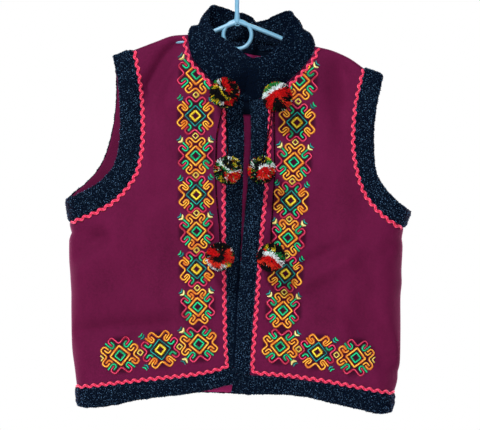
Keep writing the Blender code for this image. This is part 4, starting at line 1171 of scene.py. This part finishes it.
def make_closing_tape_and_shade():
    """A dark tape behind the hooked collar, which shows between the fronts below it: a closing
    tape, kept near black as painted shade for the deep recess there.
    """
    x, z = np.meshgrid(CLOSING_X, CLOSING_Z)
    across, up = x - CLOSING_MIDDLE[0], z - CLOSING_MIDDLE[1]
    y = CLOSING_Y + CLOSING_CURVE * (across / CLOSING_HALF) ** 2 + up * CLOSING_SLOPE
    face = np.stack([x, y, z], axis=-1)
    pile = Pile()
    pile.grid(np.concatenate([face, (face + (0, CLOSING_WALL, 0))[:, ::-1]], axis=1), closed=True)
    return pile.build("closing_tape_and_shade", PLUSH[:1], "plush")


# ------- Wavy braid -------
WAVE, SWING, TIP, BRAID_STEP, BRAID_LIFT = 11.7, 1.65, 0.12, 1.1, 0.25
BRAID_EDGE = [(2.55, 0.0), (2.1, 0.25), (1.8, 0.9), (1.2, 1.65), (0.5, 1.5)]
# Which side of a front's lines is inside it.
TURN = {"right": 1, "left": -1}
# How far inside each seam the braid runs, from one end of it to the other.
DOWN_INSETS = {"right": [1.9, 2.1, 2.3, 2.6, 1.4], "left": [2.8, 2.8, 3.0, 3.9, 3.0]}
OUT_INSETS = {"right": [1.9, 1.7, 1.0, -0.4, -1.4], "left": [3.2, 3.7, 2.6, 1.4, 1.0]}
ARM_INSETS = {"right": [2.5, 2.7, 2.4, 2.2, 2.0], "left": [2.8, 2.4, 1.6, 1.2, 0.2]}
BACK_INSET = 2.8
CORNER_CLEARANCE = {"right": 4.5, "left": 8.0}


def mirrored(edge, middle):
    """A profile from one half of it."""
    return edge + [middle] + [(-out, up) for out, up in edge[::-1]]


def make_ricrac(where, side, line, trim, phase=0.0, width=1.0):
    """Braid that waves along a plan line on a panel."""
    length = run_lengths(line)[-1]
    count = int((length - trim[0] - trim[1]) / BRAID_STEP)
    steps = np.linspace(trim[0], length - trim[1], count + 1)
    middle = at_shares(line, steps / length)
    turn = 2 * math.pi * steps / WAVE + phase
    plan = middle + sideways(middle) * (np.sin(turn) * SWING)[:, None]
    centres, sides, ups = frames_on(side, plan, BRAID_LIFT)
    # the braid tips as it turns, so each bend lifts its outer edge
    ups = unit(ups + sides * (np.cos(turn) * TIP)[:, None])
    pile = Pile()
    profile = np.array(mirrored(BRAID_EDGE, (0.0, 1.3))) * (width, 1.0)
    sweep(pile, centres, sides, ups, profile, along=steps / WAVE + phase / 6.2832)
    return pile.build("braid_" + where, BRAID, "ricrac", "ricrac_" + where)


def front_ricrac_line(side):
    """Down the front seam and out along the hem seam."""
    down, out = [offset_line(pattern(side + seam)[::-1], -TURN[side] * np.array(insets[side]))
                 for seam, insets in (("_front_seam", DOWN_INSETS), ("_hem_seam", OUT_INSETS))]
    corner, clear = PATTERN[side + "_front_seam"][0], CORNER_CLEARANCE[side]
    down = down[down[:, 1] > corner[1] + clear]
    out = out[np.abs(out[:, 0] - corner[0]) > clear]
    return smooth_through(np.vstack([down[::6], down[-1:], out[:1], out[6::6], out[-1:]]), 4)


def make_braids():
    made = {"right": [], "left": [], "back": []}
    for side, turn in TURN.items():
        neck = offset_line(pattern(side + "_neck"), RICRAC_INSET * turn)
        arm = offset_line(pattern(side + "_armhole_seam"), -turn * np.array(ARM_INSETS[side]))
        back = offset_line(pattern("back_seam_" + side), -BACK_INSET * turn)
        made[side] = [
            make_ricrac("front_" + side, side, front_ricrac_line(side), (4.0, 1.0), width=0.92),
            make_ricrac("neck_" + side, side, neck, (2.0, 3.0), width=0.86),
            make_ricrac("armhole_front_" + side, side, arm, (3.0, 3.0), 1.0)]
        made["back"].append(make_ricrac("armhole_back_" + side, "back", back, (3.0, 3.0), 2.0))
    hem = offset_line(pattern("back_hem_seam"), BACK_INSET)
    neck = offset_line(pattern("back_neck"), -RICRAC_INSET)
    made["back"] += [make_ricrac("hem_back", "back", hem, (2.0, 2.0)),
                     make_ricrac("neck_back", "back", neck, (8.0, 8.0))]
    return made


# ------- Embroidery -------
# One quarter of a motif, as corners on two slanting axes: p runs up and to the right, q down
# and to the right, in steps of CHART_STEP.  Mirror images make the other quarters.  After the
# corners comes the radius that rounds them.
CHART_STEP = 1.43
OUTER = ([(9.1, -9.1), (18.1, -9.1), (18.1, -3.0), (12.3, -3.0)], 2.8)
INNER = ([(15.5, -5.9), (10.3, -5.9), (10.3, -1.3)], 2.2)
STEM = ([(19.0, -0.3), (10.3, -0.3), (10.3, 4.2), (15.4, 4.2)], 2.4)
SIDE = ([(11.7, 2.0), (18.0, 2.0), (18.0, 7.9), (8.1, 8.1)], 2.4)
STRAND, LEAF_LENGTH = 1.65, 1.2
STITCH_STEP, CORNER_POINTS, NECK_POINTS = 1.35, 7, 119
# How far from a motif's middle the cloth has painted shade, over what distance that fades, and how
# the corners of this zone are cut off.
MOTIF_REACH, MOTIF_FADE, MOTIF_CORNERS = 28.0, 4.0, 0.72
# Threads of outer, inner, stem and side; diamonds as (half-diagonal, width, thread); leaves
# as (corners, width, thread).
MOTIFS = {
    "A": ("orange", "orange", "green", "pink",
          [(9.9, 1.9, "orange"), (5.1, 1.65, "green")],
          [([(22.6, -3.2), (20.2, -0.4), (22.2, 2.4)], 1.8, "cream"),
           ([(25.2, -3.3), (23.5, -1.0), (24.8, 1.9)], 1.4, "teal")]),
    "B": ("pink", "green", "orange", "orange",
          [(10.2, 1.4, "teal"), (8.6, 1.2, "black"), (5.1, 1.75, "yellow")],
          [([(22.0, -3.6), (20.6, -1.2), (22.0, 1.3)], 1.6, "teal"),
           ([(25.0, -3.4), (23.5, -1.2), (24.4, 1.2)], 1.4, "green")]),
}
# Each motif: x, z, chart, size, and how far it leans to the left in degrees.
STRIPS = {
    "right": [(-59.2, -169.7, "A", 1.06, -4), (-61, -229.7, "B", 1.02, -2),
        (-60.5, -287, "A", 0.98, 0), (-59.7, -342.5, "B", 0.98, 2), (-59.1, -395.2, "A", 0.94, 4),
        (-59.2, -449.2, "B", 0.95, 4), (-57.6, -503.3, "A", 0.93, 4)],
    "left": [(88.5, -179, "A", 1.02, 2), (84.5, -239.1, "B", 1.02, 2), (80, -296.1, "A", 0.98, 0),
        (75.5, -351, "B", 0.98, 0), (71.5, -404.3, "A", 0.95, 0), (68, -455.6, "B", 0.95, -2),
        (64.3, -508.3, "A", 0.93, 0)],
}
HEM_ROWS = {
    "right": [(-56, -556.5, "A", 0.98, -2), (-111, -564.6, "B", 1.0, 0),
        (-168.7, -572.8, "A", 1.0, -2)],
    "left": [(60.4, -560, "A", 0.95, 2), (113.6, -568, "B", 0.95, 0), (168.7, -576, "A", 0.98, 0)],
}
# Small diamonds stand between the motifs, and an open one ends each hem row.
BETWEEN, BETWEEN_WIDTH = 3.0, 1.05
LAST, LAST_WIDTH, LAST_AT = 2.8, 1.25, 19.6


def on_axes(corners):
    p, q = np.array(corners, float).T
    return np.stack([(p + q), (p - q)], axis=1) / math.sqrt(2) * CHART_STEP


def fillet(corners, radius, closed=False):
    """A line through corners with each one rounded, as evenly spaced points."""
    corners, radius = [np.array(c, float) for c in corners], radius * CHART_STEP
    count = len(corners)
    line = [] if closed else [corners[0]]
    for k in range(count) if closed else range(1, count - 1):
        here = corners[k]
        into, out = corners[k - 1] - here, corners[(k + 1) % count] - here
        reach = min(radius, 0.48 * np.linalg.norm(into), 0.48 * np.linalg.norm(out))
        start = here + into / np.linalg.norm(into) * reach
        end = here + out / np.linalg.norm(out) * reach
        line += [start * (1 - t) ** 2 + here * 2 * t * (1 - t) + end * t * t
                 for t in np.linspace(0, 1, CORNER_POINTS)]
    line = np.array(line + [line[0] if closed else corners[-1]])
    return even_points(line, max(int(run_lengths(line)[-1] / STITCH_STEP), 3))


def diamond(half_diagonal):
    reach = half_diagonal * CHART_STEP
    return fillet([(0, reach), (reach, 0), (0, -reach), (-reach, 0)], 0.4, True)


def motif_lines(kind, with_leaves):
    """Every strand of a motif round its own centre: (points, width, thread, leaf or not)."""
    outer, inner, stem, side, diamonds, leaves = MOTIFS[kind]
    half = on_axes(OUTER[0])
    whole = np.vstack([(half * (-1, 1))[::-1][:-1], half])
    lines = [(whole * (1, up), OUTER[1], outer) for up in (1, -1)]
    half = on_axes(SIDE[0])
    whole = np.vstack([half, (half * (1, -1))[::-1][1:]])
    lines += [(whole * (right, 1), SIDE[1], side) for right in (1, -1)]
    lines += [(on_axes(corners) * (right, up), radius, thread)
              for (corners, radius), thread in ((INNER, inner), (STEM, stem))
              for right in (1, -1) for up in (1, -1)]
    strands = [(fillet(line, radius), STRAND, thread, False) for line, radius, thread in lines]
    strands += [(diamond(reach), width, thread, False) for reach, width, thread in diamonds]
    for corners, width, thread in leaves if with_leaves else []:
        leaf = on_axes(corners)
        leaf = leaf[1] + (leaf - leaf[1]) * LEAF_LENGTH
        strands += [(fillet(leaf * (right, 1), 1.2), width, thread, True) for right in (1, -1)]
    return strands


def neck_clearance(side, plan):
    """How far plan points lie inside the cloth from the neck seam."""
    neck = even_points(pattern(side + "_neck"), NECK_POINTS)
    offset = plan[:, None, :] - neck[None]
    nearest = np.argmin(np.sum(offset ** 2, -1), axis=1)
    inwards = sideways(neck)[nearest] * TURN[side]
    return np.sum(offset[np.arange(len(plan)), nearest] * inwards, -1)


def stitch(pile, side, line, width, thread, leaf=False):
    """A raised satin strand along plan points, left out where the neck braid covers it."""
    half = width * CHART_STEP / 2 - 0.05
    high = 0.9 + 0.6 * half
    edge = [(half + 0.62, 0.0), (half + 0.08, 0.22), (0.86 * half, 0.6 * high),
            (0.42 * half, 0.94 * high)]
    kept = neck_clearance(side, line) > RICRAC_INSET + 1.0
    ends = np.flatnonzero(np.diff(np.concatenate([[0], kept.astype(int), [0]])))
    for start, end in zip(ends[::2], ends[1::2]):
        if end - start < 3:
            continue
        centres, sides, ups = frames_on(side, line[start:end])
        swell = np.ones(end - start)
        if leaf:
            swell = 1.25 - 0.85 * np.abs(np.linspace(-1, 1, end - start)) ** 1.5
        elif np.linalg.norm(line[start] - line[end - 1]) > 0.5:
            swell[0] = swell[-1] = 0.72
        swell *= 1 + 0.05 * np.sin(run_lengths(centres) * 2.1 + centres[:, 0])
        sweep(pile, centres, sides, ups, mirrored(edge, (0.0, high)),
              list(THREADS).index(thread), closed=False, swell=swell)


def place(line, centre, up):
    up = np.array(up, float) / math.hypot(*up)
    right = np.array([up[1], -up[0]])
    return np.array(centre, float) + line[:, :1] * right + line[:, 1:] * up


def make_embroidery(side):
    pile = Pile()
    down, along_hem = STRIPS[side], HEM_ROWS[side]
    upwards = np.array(down[0][:2]) - np.array(down[-1][:2])
    outwards = np.array(along_hem[-1][:2]) - np.array(along_hem[0][:2])
    for row, up in ((down, upwards), (along_hem, outwards)):
        for k, (x, z, kind, size, lean) in enumerate(row):
            last_out = row is along_hem and k == len(row) - 1
            cos, sin = math.cos(math.radians(lean)), math.sin(math.radians(lean))
            leaned = (up[0] * cos - up[1] * sin, up[0] * sin + up[1] * cos)
            for line, width, thread, leaf in motif_lines(kind, not last_out):
                stitch(pile, side, place(line * size, (x, z), leaned), width, thread, leaf)
            if k:
                middle = (np.array(row[k - 1][:2]) + np.array([x, z])) / 2
                stitch(pile, side, place(diamond(BETWEEN), middle, up), BETWEEN_WIDTH, "pale")
    outwards_unit, reach = outwards / np.linalg.norm(outwards), LAST * CHART_STEP
    end = np.array(along_hem[-1][:2]) + outwards_unit * LAST_AT * CHART_STEP
    chevron = fillet([(-reach, reach), (0, 0), (reach, reach)], 0.8)
    stitch(pile, side, place(chevron, end - outwards_unit * reach, outwards), LAST_WIDTH, "pale")
    return pile.build("embroidery_" + side, THREAD, "cloth")


def paint_motif_shade(piece, side):
    """Marks the cloth round the motifs, where its material paints shade."""
    places = np.empty(len(piece.data.vertices) * 3)
    piece.data.vertices.foreach_get("co", places)
    x, _, z = places.reshape(-1, 3).T / MM
    near = np.full(len(x), 1e3)
    for motif in STRIPS[side] + HEM_ROWS[side]:
        right, up = np.abs(x - motif[0]), np.abs(z - motif[1])
        near = np.minimum(near, np.maximum(MOTIF_CORNERS * (right + up), np.maximum(right, up)))
    layer = piece.data.attributes.new("motif_shade", "FLOAT", "POINT")
    shaded = np.clip((MOTIF_REACH - near) / MOTIF_FADE, 0.0, 1.0)
    layer.data.foreach_set("value", shaded.astype(np.float32))


# ------- Pompoms -------
#   name: x, y, z, radius, and the share of strands among wool of another colour
POMPOMS = {
    "pompom_right_neck": (-19, -47.9, -198, 21.0, 0.05),
    "pompom_left_neck": (56, -46.3, -204, 21.0, 0.02),
    "pompom_right_middle": (-14.5, -49.8, -308, 20.0, 0.2),
    "pompom_left_middle": (33.5, -49.5, -308, 19.5, 0.12),
    "pompom_right_low": (-25.5, -44.3, -431, 20.0, 0.02),
    "pompom_left_low": (47, -49.2, -432, 20.0, 0.02),
}
BLACK, RED, SCARLET, WHITE, GREEN, YELLOW = range(6)
STRAY_WOOLS = [BLACK] * 4 + [WHITE, GREEN, GREEN, GREEN, SCARLET, YELLOW]
STRANDS, CORE, CORE_BUMPS, BUMP_SIZE = 2000, 0.84, 0.05, 2.5
# How each strand lies: where its root and its middle are, as shares of the ball's radius,
# and how its thickness changes from root to tip.
ROOT, BEND, TAPER = 0.6, 0.86, (0.8, 1.0, 0.72)
COMBED = np.array([0.25, 0.0, -0.35]) * 0.08
# How unevenly strands stand, lean and take the wool round them, and how long and thick they are.
STANDS, LEANS, MINGLES = 0.04, 0.045, 0.055
REACHES, LONGER, THICKNESS = (0.97, 1.06), 1.06, (0.45, 0.68)
FEW_BLACK, FEW_LONG = 0.07, 0.04
# Patches of wool on each ball's front: (wool, half-width, (across, up), ...) where
# across and up are shares of the ball's radius from its middle.  Later patches lie on top.
PATCHES = {
    "pompom_right_neck": [(RED, 0.19, (-0.10, 0.92), (0.10, 0.60), (0.32, 0.15)),
        (RED, 0.07, (0.66, 0.74), (0.70, 0.70)), (RED, 0.03, (0.98, 0.3), (0.98, -0.4)),
        (RED, 0.10, (0.10, -0.84), (0.48, -0.76)), (RED, 0.05, (0.5, -0.6), (0.80, -0.5)),
        (WHITE, 0.09, (-0.46, 0.72), (-0.34, 0.76)), (GREEN, 0.09, (-0.68, 0.74), (-0.62, 0.66)),
        (SCARLET, 0.08, (-0.70, 0.52), (-0.60, 0.54)),
        (YELLOW, 0.06, (-0.76, 0.36), (-0.36, 0.42)), (WHITE, 0.06, (-0.38, 0.50), (-0.24, 0.24)),
        (YELLOW, 0.05, (-0.40, 0.40), (-0.06, -0.30)),
        (GREEN, 0.06, (-0.94, -0.34), (-0.70, -0.78)),
        (YELLOW, 0.03, (-0.9, -0.2), (-0.86, -0.45), (-0.6, -0.72)),
        (YELLOW, 0.07, (-0.52, -0.64), (-0.44, -0.70)),
        (WHITE, 0.08, (-0.26, -0.80), (-0.14, -0.84)), (YELLOW, 0.04, (0.05, -0.48), (0.5, -0.42)),
        (GREEN, 0.04, (0.2, -0.6), (0.36, -0.56))],
    "pompom_left_neck": [(RED, 0.30, (-0.55, 0.0), (0.25, 0.36), (0.80, 0.30)),
        (RED, 0.22, (-0.45, -0.1), (-0.62, -0.80)), (RED, 0.25, (0.2, 0.1), (0.55, 0.25)),
        (YELLOW, 0.07, (-0.95, 0.30), (-0.60, 0.80), (-0.04, 1.0)),
        (GREEN, 0.15, (-0.84, 0.30), (-0.42, 0.76), (0.22, 0.96)),
        (WHITE, 0.14, (-0.94, 0.05), (-0.46, 0.46), (0.34, 0.86)),
        (SCARLET, 0.12, (0.20, -0.10), (0.90, -0.75)), (SCARLET, 0.07, (0.5, -0.6), (0.98, -0.35)),
        (BLACK, 0.12, (0.45, -0.2), (0.75, 0.05)), (BLACK, 0.26, (-0.1, -0.62), (0.2, -0.7))],
    "pompom_right_middle": [(RED, 0.34, (0.10, -0.5), (0.80, -0.46)),
        (RED, 0.12, (-0.2, -0.3), (0.6, -0.30)), (WHITE, 0.10, (-0.76, 0.60), (-0.46, 0.68)),
        (GREEN, 0.09, (-0.70, 0.38), (-0.5, 0.45)), (SCARLET, 0.08, (-0.80, 0.18), (-0.72, 0.12)),
        (YELLOW, 0.08, (-0.82, -0.03), (-0.75, -0.03)), (WHITE, 0.08, (-0.60, 0.48), (0.02, 0.0)),
        (GREEN, 0.07, (-0.52, 0.34), (0.0, -0.12)), (YELLOW, 0.08, (0.36, 0.88), (0.64, 0.78)),
        (WHITE, 0.08, (0.10, 0.88), (0.20, 0.88)), (YELLOW, 0.07, (0.52, 0.42), (0.70, 0.30)),
        (GREEN, 0.06, (-0.16, -0.3), (0.4, 0.0)), (WHITE, 0.08, (0.22, -0.18), (0.94, -0.02)),
        (WHITE, 0.07, (-0.16, -0.66), (-0.1, -0.66)),
        (YELLOW, 0.08, (-0.58, -0.48), (-0.44, -0.76)), (SCARLET, 0.10, (0.3, -0.85), (0.6, -0.7))],
    "pompom_left_middle": [(RED, 0.30, (-0.1, -0.05), (0.70, -0.05)),
        (RED, 0.28, (0.0, -0.4), (0.70, -0.42)), (SCARLET, 0.16, (0.1, -0.58), (0.6, -0.6)),
        (RED, 0.08, (-0.90, 0.28), (-0.90, -0.3)), (GREEN, 0.10, (-0.56, 0.84), (-0.45, 0.78)),
        (WHITE, 0.06, (-0.66, 0.78), (-0.5, 0.86)), (SCARLET, 0.07, (-0.50, 0.66), (-0.40, 0.66)),
        (YELLOW, 0.06, (-0.30, 0.84), (-0.14, 0.82)), (WHITE, 0.09, (-0.74, 0.48), (-0.66, 0.28)),
        (YELLOW, 0.08, (-0.76, 0.03), (-0.70, 0.0)), (YELLOW, 0.07, (0.36, 0.88), (0.60, 0.76)),
        (GREEN, 0.15, (0.48, 0.60), (0.84, 0.50)),
        (WHITE, 0.12, (-0.20, 0.14), (0.06, 0.30), (0.40, 0.40), (0.94, 0.34)),
        (WHITE, 0.05, (-0.28, -0.55), (-0.08, -0.66)), (BLACK, 0.12, (-0.4, 0.6), (-0.45, -0.4)),
        (BLACK, 0.12, (0.45, -0.85), (0.85, -0.45))],
    "pompom_right_low": [(RED, 0.24, (-0.76, 0.42), (-0.30, 0.26)),
        (SCARLET, 0.18, (0.60, 0.44), (0.86, -0.1), (0.5, -0.6), (-0.2, -0.66), (-0.86, -0.3)),
        (RED, 0.12, (0.4, 0.2), (0.6, -0.2), (0.2, -0.45)),
        (WHITE, 0.07, (0.82, 0.6), (0.96, 0.42)),
        (WHITE, 0.06, (-1.0, -0.2), (-0.68, -0.76), (-0.25, -0.96)),
        (WHITE, 0.13, (0.14, -0.74), (0.34, -0.72)), (GREEN, 0.09, (0.52, -0.56), (0.72, -0.5)),
        (YELLOW, 0.08, (0.60, -0.66), (0.76, -0.6))],
    "pompom_left_low": [(RED, 0.20, (-0.35, 0.05), (0.15, -0.12), (0.6, -0.6)),
        (RED, 0.14, (-0.6, -0.1), (-0.1, -0.25)),
        (SCARLET, 0.16, (-0.84, -0.28), (-0.3, -0.45), (0.25, -0.72)),
        (YELLOW, 0.10, (-0.34, 0.82), (-0.26, 0.80)),
        (SCARLET, 0.09, (-0.48, 0.62), (-0.38, 0.60)), (YELLOW, 0.12, (0.14, 0.64), (0.26, 0.62)),
        (GREEN, 0.13, (-0.22, 0.50), (0.50, 0.22), (0.94, 0.02)),
        (WHITE, 0.16, (-0.48, 0.34), (0.05, 0.32), (0.34, 0.0), (0.86, -0.42)),
        (BLACK, 0.20, (-0.6, -0.6), (-0.3, -0.85))],
}


def wool_at(name, directions):
    """Which wool shows in each direction of a ball; its hidden half repeats the chart, turned."""
    x, y, z = directions.T
    behind = y > 0.05
    across = np.where(behind, -0.5 * x + 0.86 * z, x)
    up = np.where(behind, 0.86 * x + 0.5 * z, z)
    wool = np.full(len(directions), BLACK)
    for kind, half_width, *corners in PATCHES[name]:
        for a, b in zip(corners[:-1], corners[1:]):
            run = np.subtract(b, a)
            share = ((across - a[0]) * run[0] + (up - a[1]) * run[1]) / max(run @ run, 1e-6)
            share = np.clip(share, 0, 1)
            gap = np.hypot(across - a[0] - share * run[0], up - a[1] - share * run[1])
            wool[gap < half_width] = kind
    return wool


def add_core(pile, name, centre, radius):
    """A bumpy ball under the strands."""
    work = bmesh.new()
    bmesh.ops.create_icosphere(work, subdivisions=4, radius=1.0)
    core = np.array([v.co for v in work.verts])
    faces = np.array([[v.index for v in f.verts] for f in work.faces])
    work.free()
    bumps = CORE + CORE_BUMPS * (value_noise(core * radius + centre, BUMP_SIZE) - 0.5)
    wool = wool_at(name, unit(core[faces].mean(axis=1)))
    for kind in range(len(WOOLS)):
        if (wool == kind).any():
            pile.add(centre + core * radius * bumps[:, None], faces[wool == kind], slot=kind)


def make_pompom(name, x, y, z, radius, mixed):
    """A ball of cut wool: a core under strands that end on its surface."""
    centre = np.array([x, y, z], float)
    pile = Pile()
    add_core(pile, name, centre, radius)
    k = np.arange(STRANDS) + 0.5
    polar, spin = np.arccos(1 - 2 * k / STRANDS), math.pi * (1 + 5 ** 0.5) * k
    out = np.stack([np.cos(spin) * np.sin(polar), np.sin(spin) * np.sin(polar), np.cos(polar)],
                   axis=1)
    out = unit(out + rng.normal(size=out.shape) * STANDS)
    wool = wool_at(name, unit(out + rng.normal(size=out.shape) * MINGLES))
    wool[rng.rand(STRANDS) < FEW_BLACK] = BLACK
    stray = rng.rand(STRANDS) < mixed
    wool[stray] = rng.choice(STRAY_WOOLS, stray.sum())
    lean = rng.normal(size=out.shape) * LEANS + COMBED
    reach = radius * rng.uniform(*REACHES, STRANDS)
    reach[rng.rand(STRANDS) < FEW_LONG] *= LONGER
    lines = np.stack([centre + out * (ROOT * radius),
                      centre + unit(out + lean * 0.35) * (BEND * radius),
                      centre + unit(out + lean) * reach[:, None]], axis=1)
    aside = unit(np.cross(out, rng.normal(size=out.shape)))
    other = np.cross(out, aside)
    width = rng.uniform(*THICKNESS, STRANDS)[:, None] * TAPER
    tube, faces = three_sided(lines, aside[:, None], other[:, None], width)
    tip = np.array([[0, 1, 2]])
    for kind in range(len(WOOLS)):
        strands = tube[wool == kind]
        if len(strands):
            pile.add(strands, repeat_faces(faces, len(strands), 9), slot=kind)
            pile.add(strands[:, -1], repeat_faces(tip, len(strands), 3), slot=kind)
    return pile.build("wool_" + name, WOOL, "pompom", name)


# ------- Cords -------
CORDS = {
    "cord_right_long": [(-21.5, -28.4, -214), (-24, -28.0, -228), (-27.5, -27.4, -243),
        (-30.5, -26.6, -260), (-31.5, -26.9, -285), (-32, -27.1, -308), (-31.5, -27.0, -335),
        (-29.5, -26.2, -360), (-27, -25.0, -385), (-25.8, -27.4, -403), (-25.5, -32.6, -413.2)],
    "cord_right_short": [(-17, -28.6, -215), (-16.5, -29.2, -235), (-16, -29.6, -255),
        (-15.5, -30.2, -274), (-15.2, -31.8, -283), (-15, -36.0, -290.7)],
    "cord_left_long": [(52, -26.8, -221), (51.5, -27.2, -236), (51.5, -27.6, -256),
        (52, -27.2, -280), (52.5, -27.1, -308), (51.5, -27.2, -335), (49.5, -28.1, -365),
        (47.8, -29.3, -388), (47.2, -31.4, -404), (47, -37.0, -414.2)],
    "cord_left_short": [(48, -28.2, -222), (46.3, -28.4, -238), (43.5, -29.0, -256),
        (39, -29.9, -272), (36.8, -31.9, -282), (35, -36.6, -290.6)],
}
PLY_RADIUS, PLY_OFFSET, PLY_TURN = 0.66, 0.48, 6.5
PATH_STEP, PLY_STEP = 5.0, 0.8


def make_cord(name, route):
    """Two plies of wool twisted together along the cord's route."""
    fine = smooth_through(route, 12)
    length = run_lengths(fine)[-1]
    path = even_points(fine, max(int(round(length / PATH_STEP)), 2))
    line = even_points(fine, int(length / PLY_STEP))
    sides, ups = tube_frames(line)
    ring = np.linspace(0, 2 * math.pi, 7)[:-1]
    profile = np.stack([np.cos(ring), np.sin(ring)], axis=1) * PLY_RADIUS
    pile = Pile()
    for ply in (0.0, math.pi):
        turn = (run_lengths(line) * 2 * math.pi / PLY_TURN + ply)[:, None]
        middle = line + (sides * np.cos(turn) + ups * np.sin(turn)) * PLY_OFFSET
        sweep(pile, middle, sides, ups, profile)
    return pile.build("wool_" + name, CORD, "cord", name), path, length


# ------- Hanger -------
HANGER_RADIUS, RING_RADIUS = 3.3, 2.9
HOOK_BEND, RING_BEND = 23.3, 20.2
JUNCTION_Z = -92.0
RING_CENTRE = (-0.7, -111.5)
RIGHT_ARM = [(0, -92), (-20, -100), (-38, -107.5), (-70, -119.5), (-96, -122), (-123, -129.4),
             (-139, -135.2), (-152, -140.1), (-172, -147)]
LEFT_ARM = [(0, -92), (35, -105), (62, -116.3), (85, -127), (104, -136), (120, -141),
            (140, -144.5), (157, -150.3), (170, -159.8)]
RIB_PITCH, ROD_SIDES, ROD_STEP = 3.6, 18, 1.3
HOOK_SWELL = [1.45, 1.2, 1.04] + [1.0] * 24 + [0.9]
ARM_SWELL = [1.15, 1.0] + [1.0] * 12 + [0.7]
# A small moulded eyelet before the junction: (x, z, width, height), depth and thickness.
EYELET, EYELET_Y, EYELET_RADIUS = (-0.9, -96.9, 3.1, 1.7), -2.6, 0.55
# A rod's end is rounded off by rings of these shares of its radius.
CAP = (0.9, 0.55, 0.05)


def arc(x, z, wide, high, turns, y=0.0):
    return [(x + wide * math.cos(math.radians(turn)), y, z + high * math.sin(math.radians(turn)))
            for turn in turns]


def rod(pile, route, radius, radii=(1.0,), ribs=0.05, closed=False):
    """A moulded rod with fine ribs that wind round it."""
    fine = smooth_through(route, 10)
    length = run_lengths(fine)[-1]
    share = np.linspace(0, 1, int(length / ROD_STEP) + 1)
    line = at_shares(fine, share)
    sides, ups = tube_frames(line)
    swell = np.interp(share, np.linspace(0, 1, len(radii)), radii)
    angle = np.linspace(0, 2 * math.pi, ROD_SIDES + 1)[:-1]
    winding = (share * length)[:, None] * 2 * math.pi / RIB_PITCH
    across = radius * swell[:, None] + np.cos(angle[None, :] * 2 + winding) * ribs
    points = (line[:, None] + sides[:, None] * (np.cos(angle) * across)[..., None]
              + ups[:, None] * (np.sin(angle) * across)[..., None])
    if not closed:
        start, stop = [
            [line[end] + (points[end] - line[end]) * s
             + unit(line[end] - line[beside]) * radius * swell[end] * math.sqrt(1 - s * s)
             for s in CAP] for end, beside in ((0, 1), (-1, -2))]
        points = np.concatenate([start[::-1], points, stop], axis=0)
    pile.grid(points, closed=True)


def make_hanger():
    pile = Pile()
    stem = [(-1.2, 0, z) for z in (JUNCTION_Z, -84, -74, -66)] + [(-0.4, 0, -59), (6.5, 0, -48)]
    bend = arc(0.0, HANGER_RADIUS - HOOK_BEND, HOOK_BEND, HOOK_BEND, range(-40, 191, 10))
    rod(pile, stem + bend, HANGER_RADIUS, HOOK_SWELL)
    for arm in (RIGHT_ARM, LEFT_ARM):
        rod(pile, [(x, 0, z) for x, z in arm], HANGER_RADIUS, ARM_SWELL, 0.09)
    ring = arc(*RING_CENTRE, RING_BEND, RING_BEND, range(0, 361, 10))
    rod(pile, ring, RING_RADIUS, ribs=0.04, closed=True)
    rod(pile, arc(*EYELET, range(0, 361, 20), EYELET_Y), EYELET_RADIUS, ribs=0.0, closed=True)
    return pile.build("hanger_body", HANGER, "hanger", "hanger")


# ------- The whole vest -------
def build():
    add_camera()
    cords = {name: make_cord(name, route) for name, route in CORDS.items()}
    add_studio()
    balls = {name: make_pompom(name, *facts) for name, facts in POMPOMS.items()}
    fronts = {side: make_front(side) for side in SIDES}
    back = make_back()
    bands, braids = make_bands(), make_braids()
    collar = [make_collar(), make_neck_tape(), make_closing_tape_and_shade()]
    stitches = {side: make_embroidery(side) for side in SIDES}
    for side, piece in fronts.items():
        paint_motif_shade(piece, side)
    make_hanger()


build()
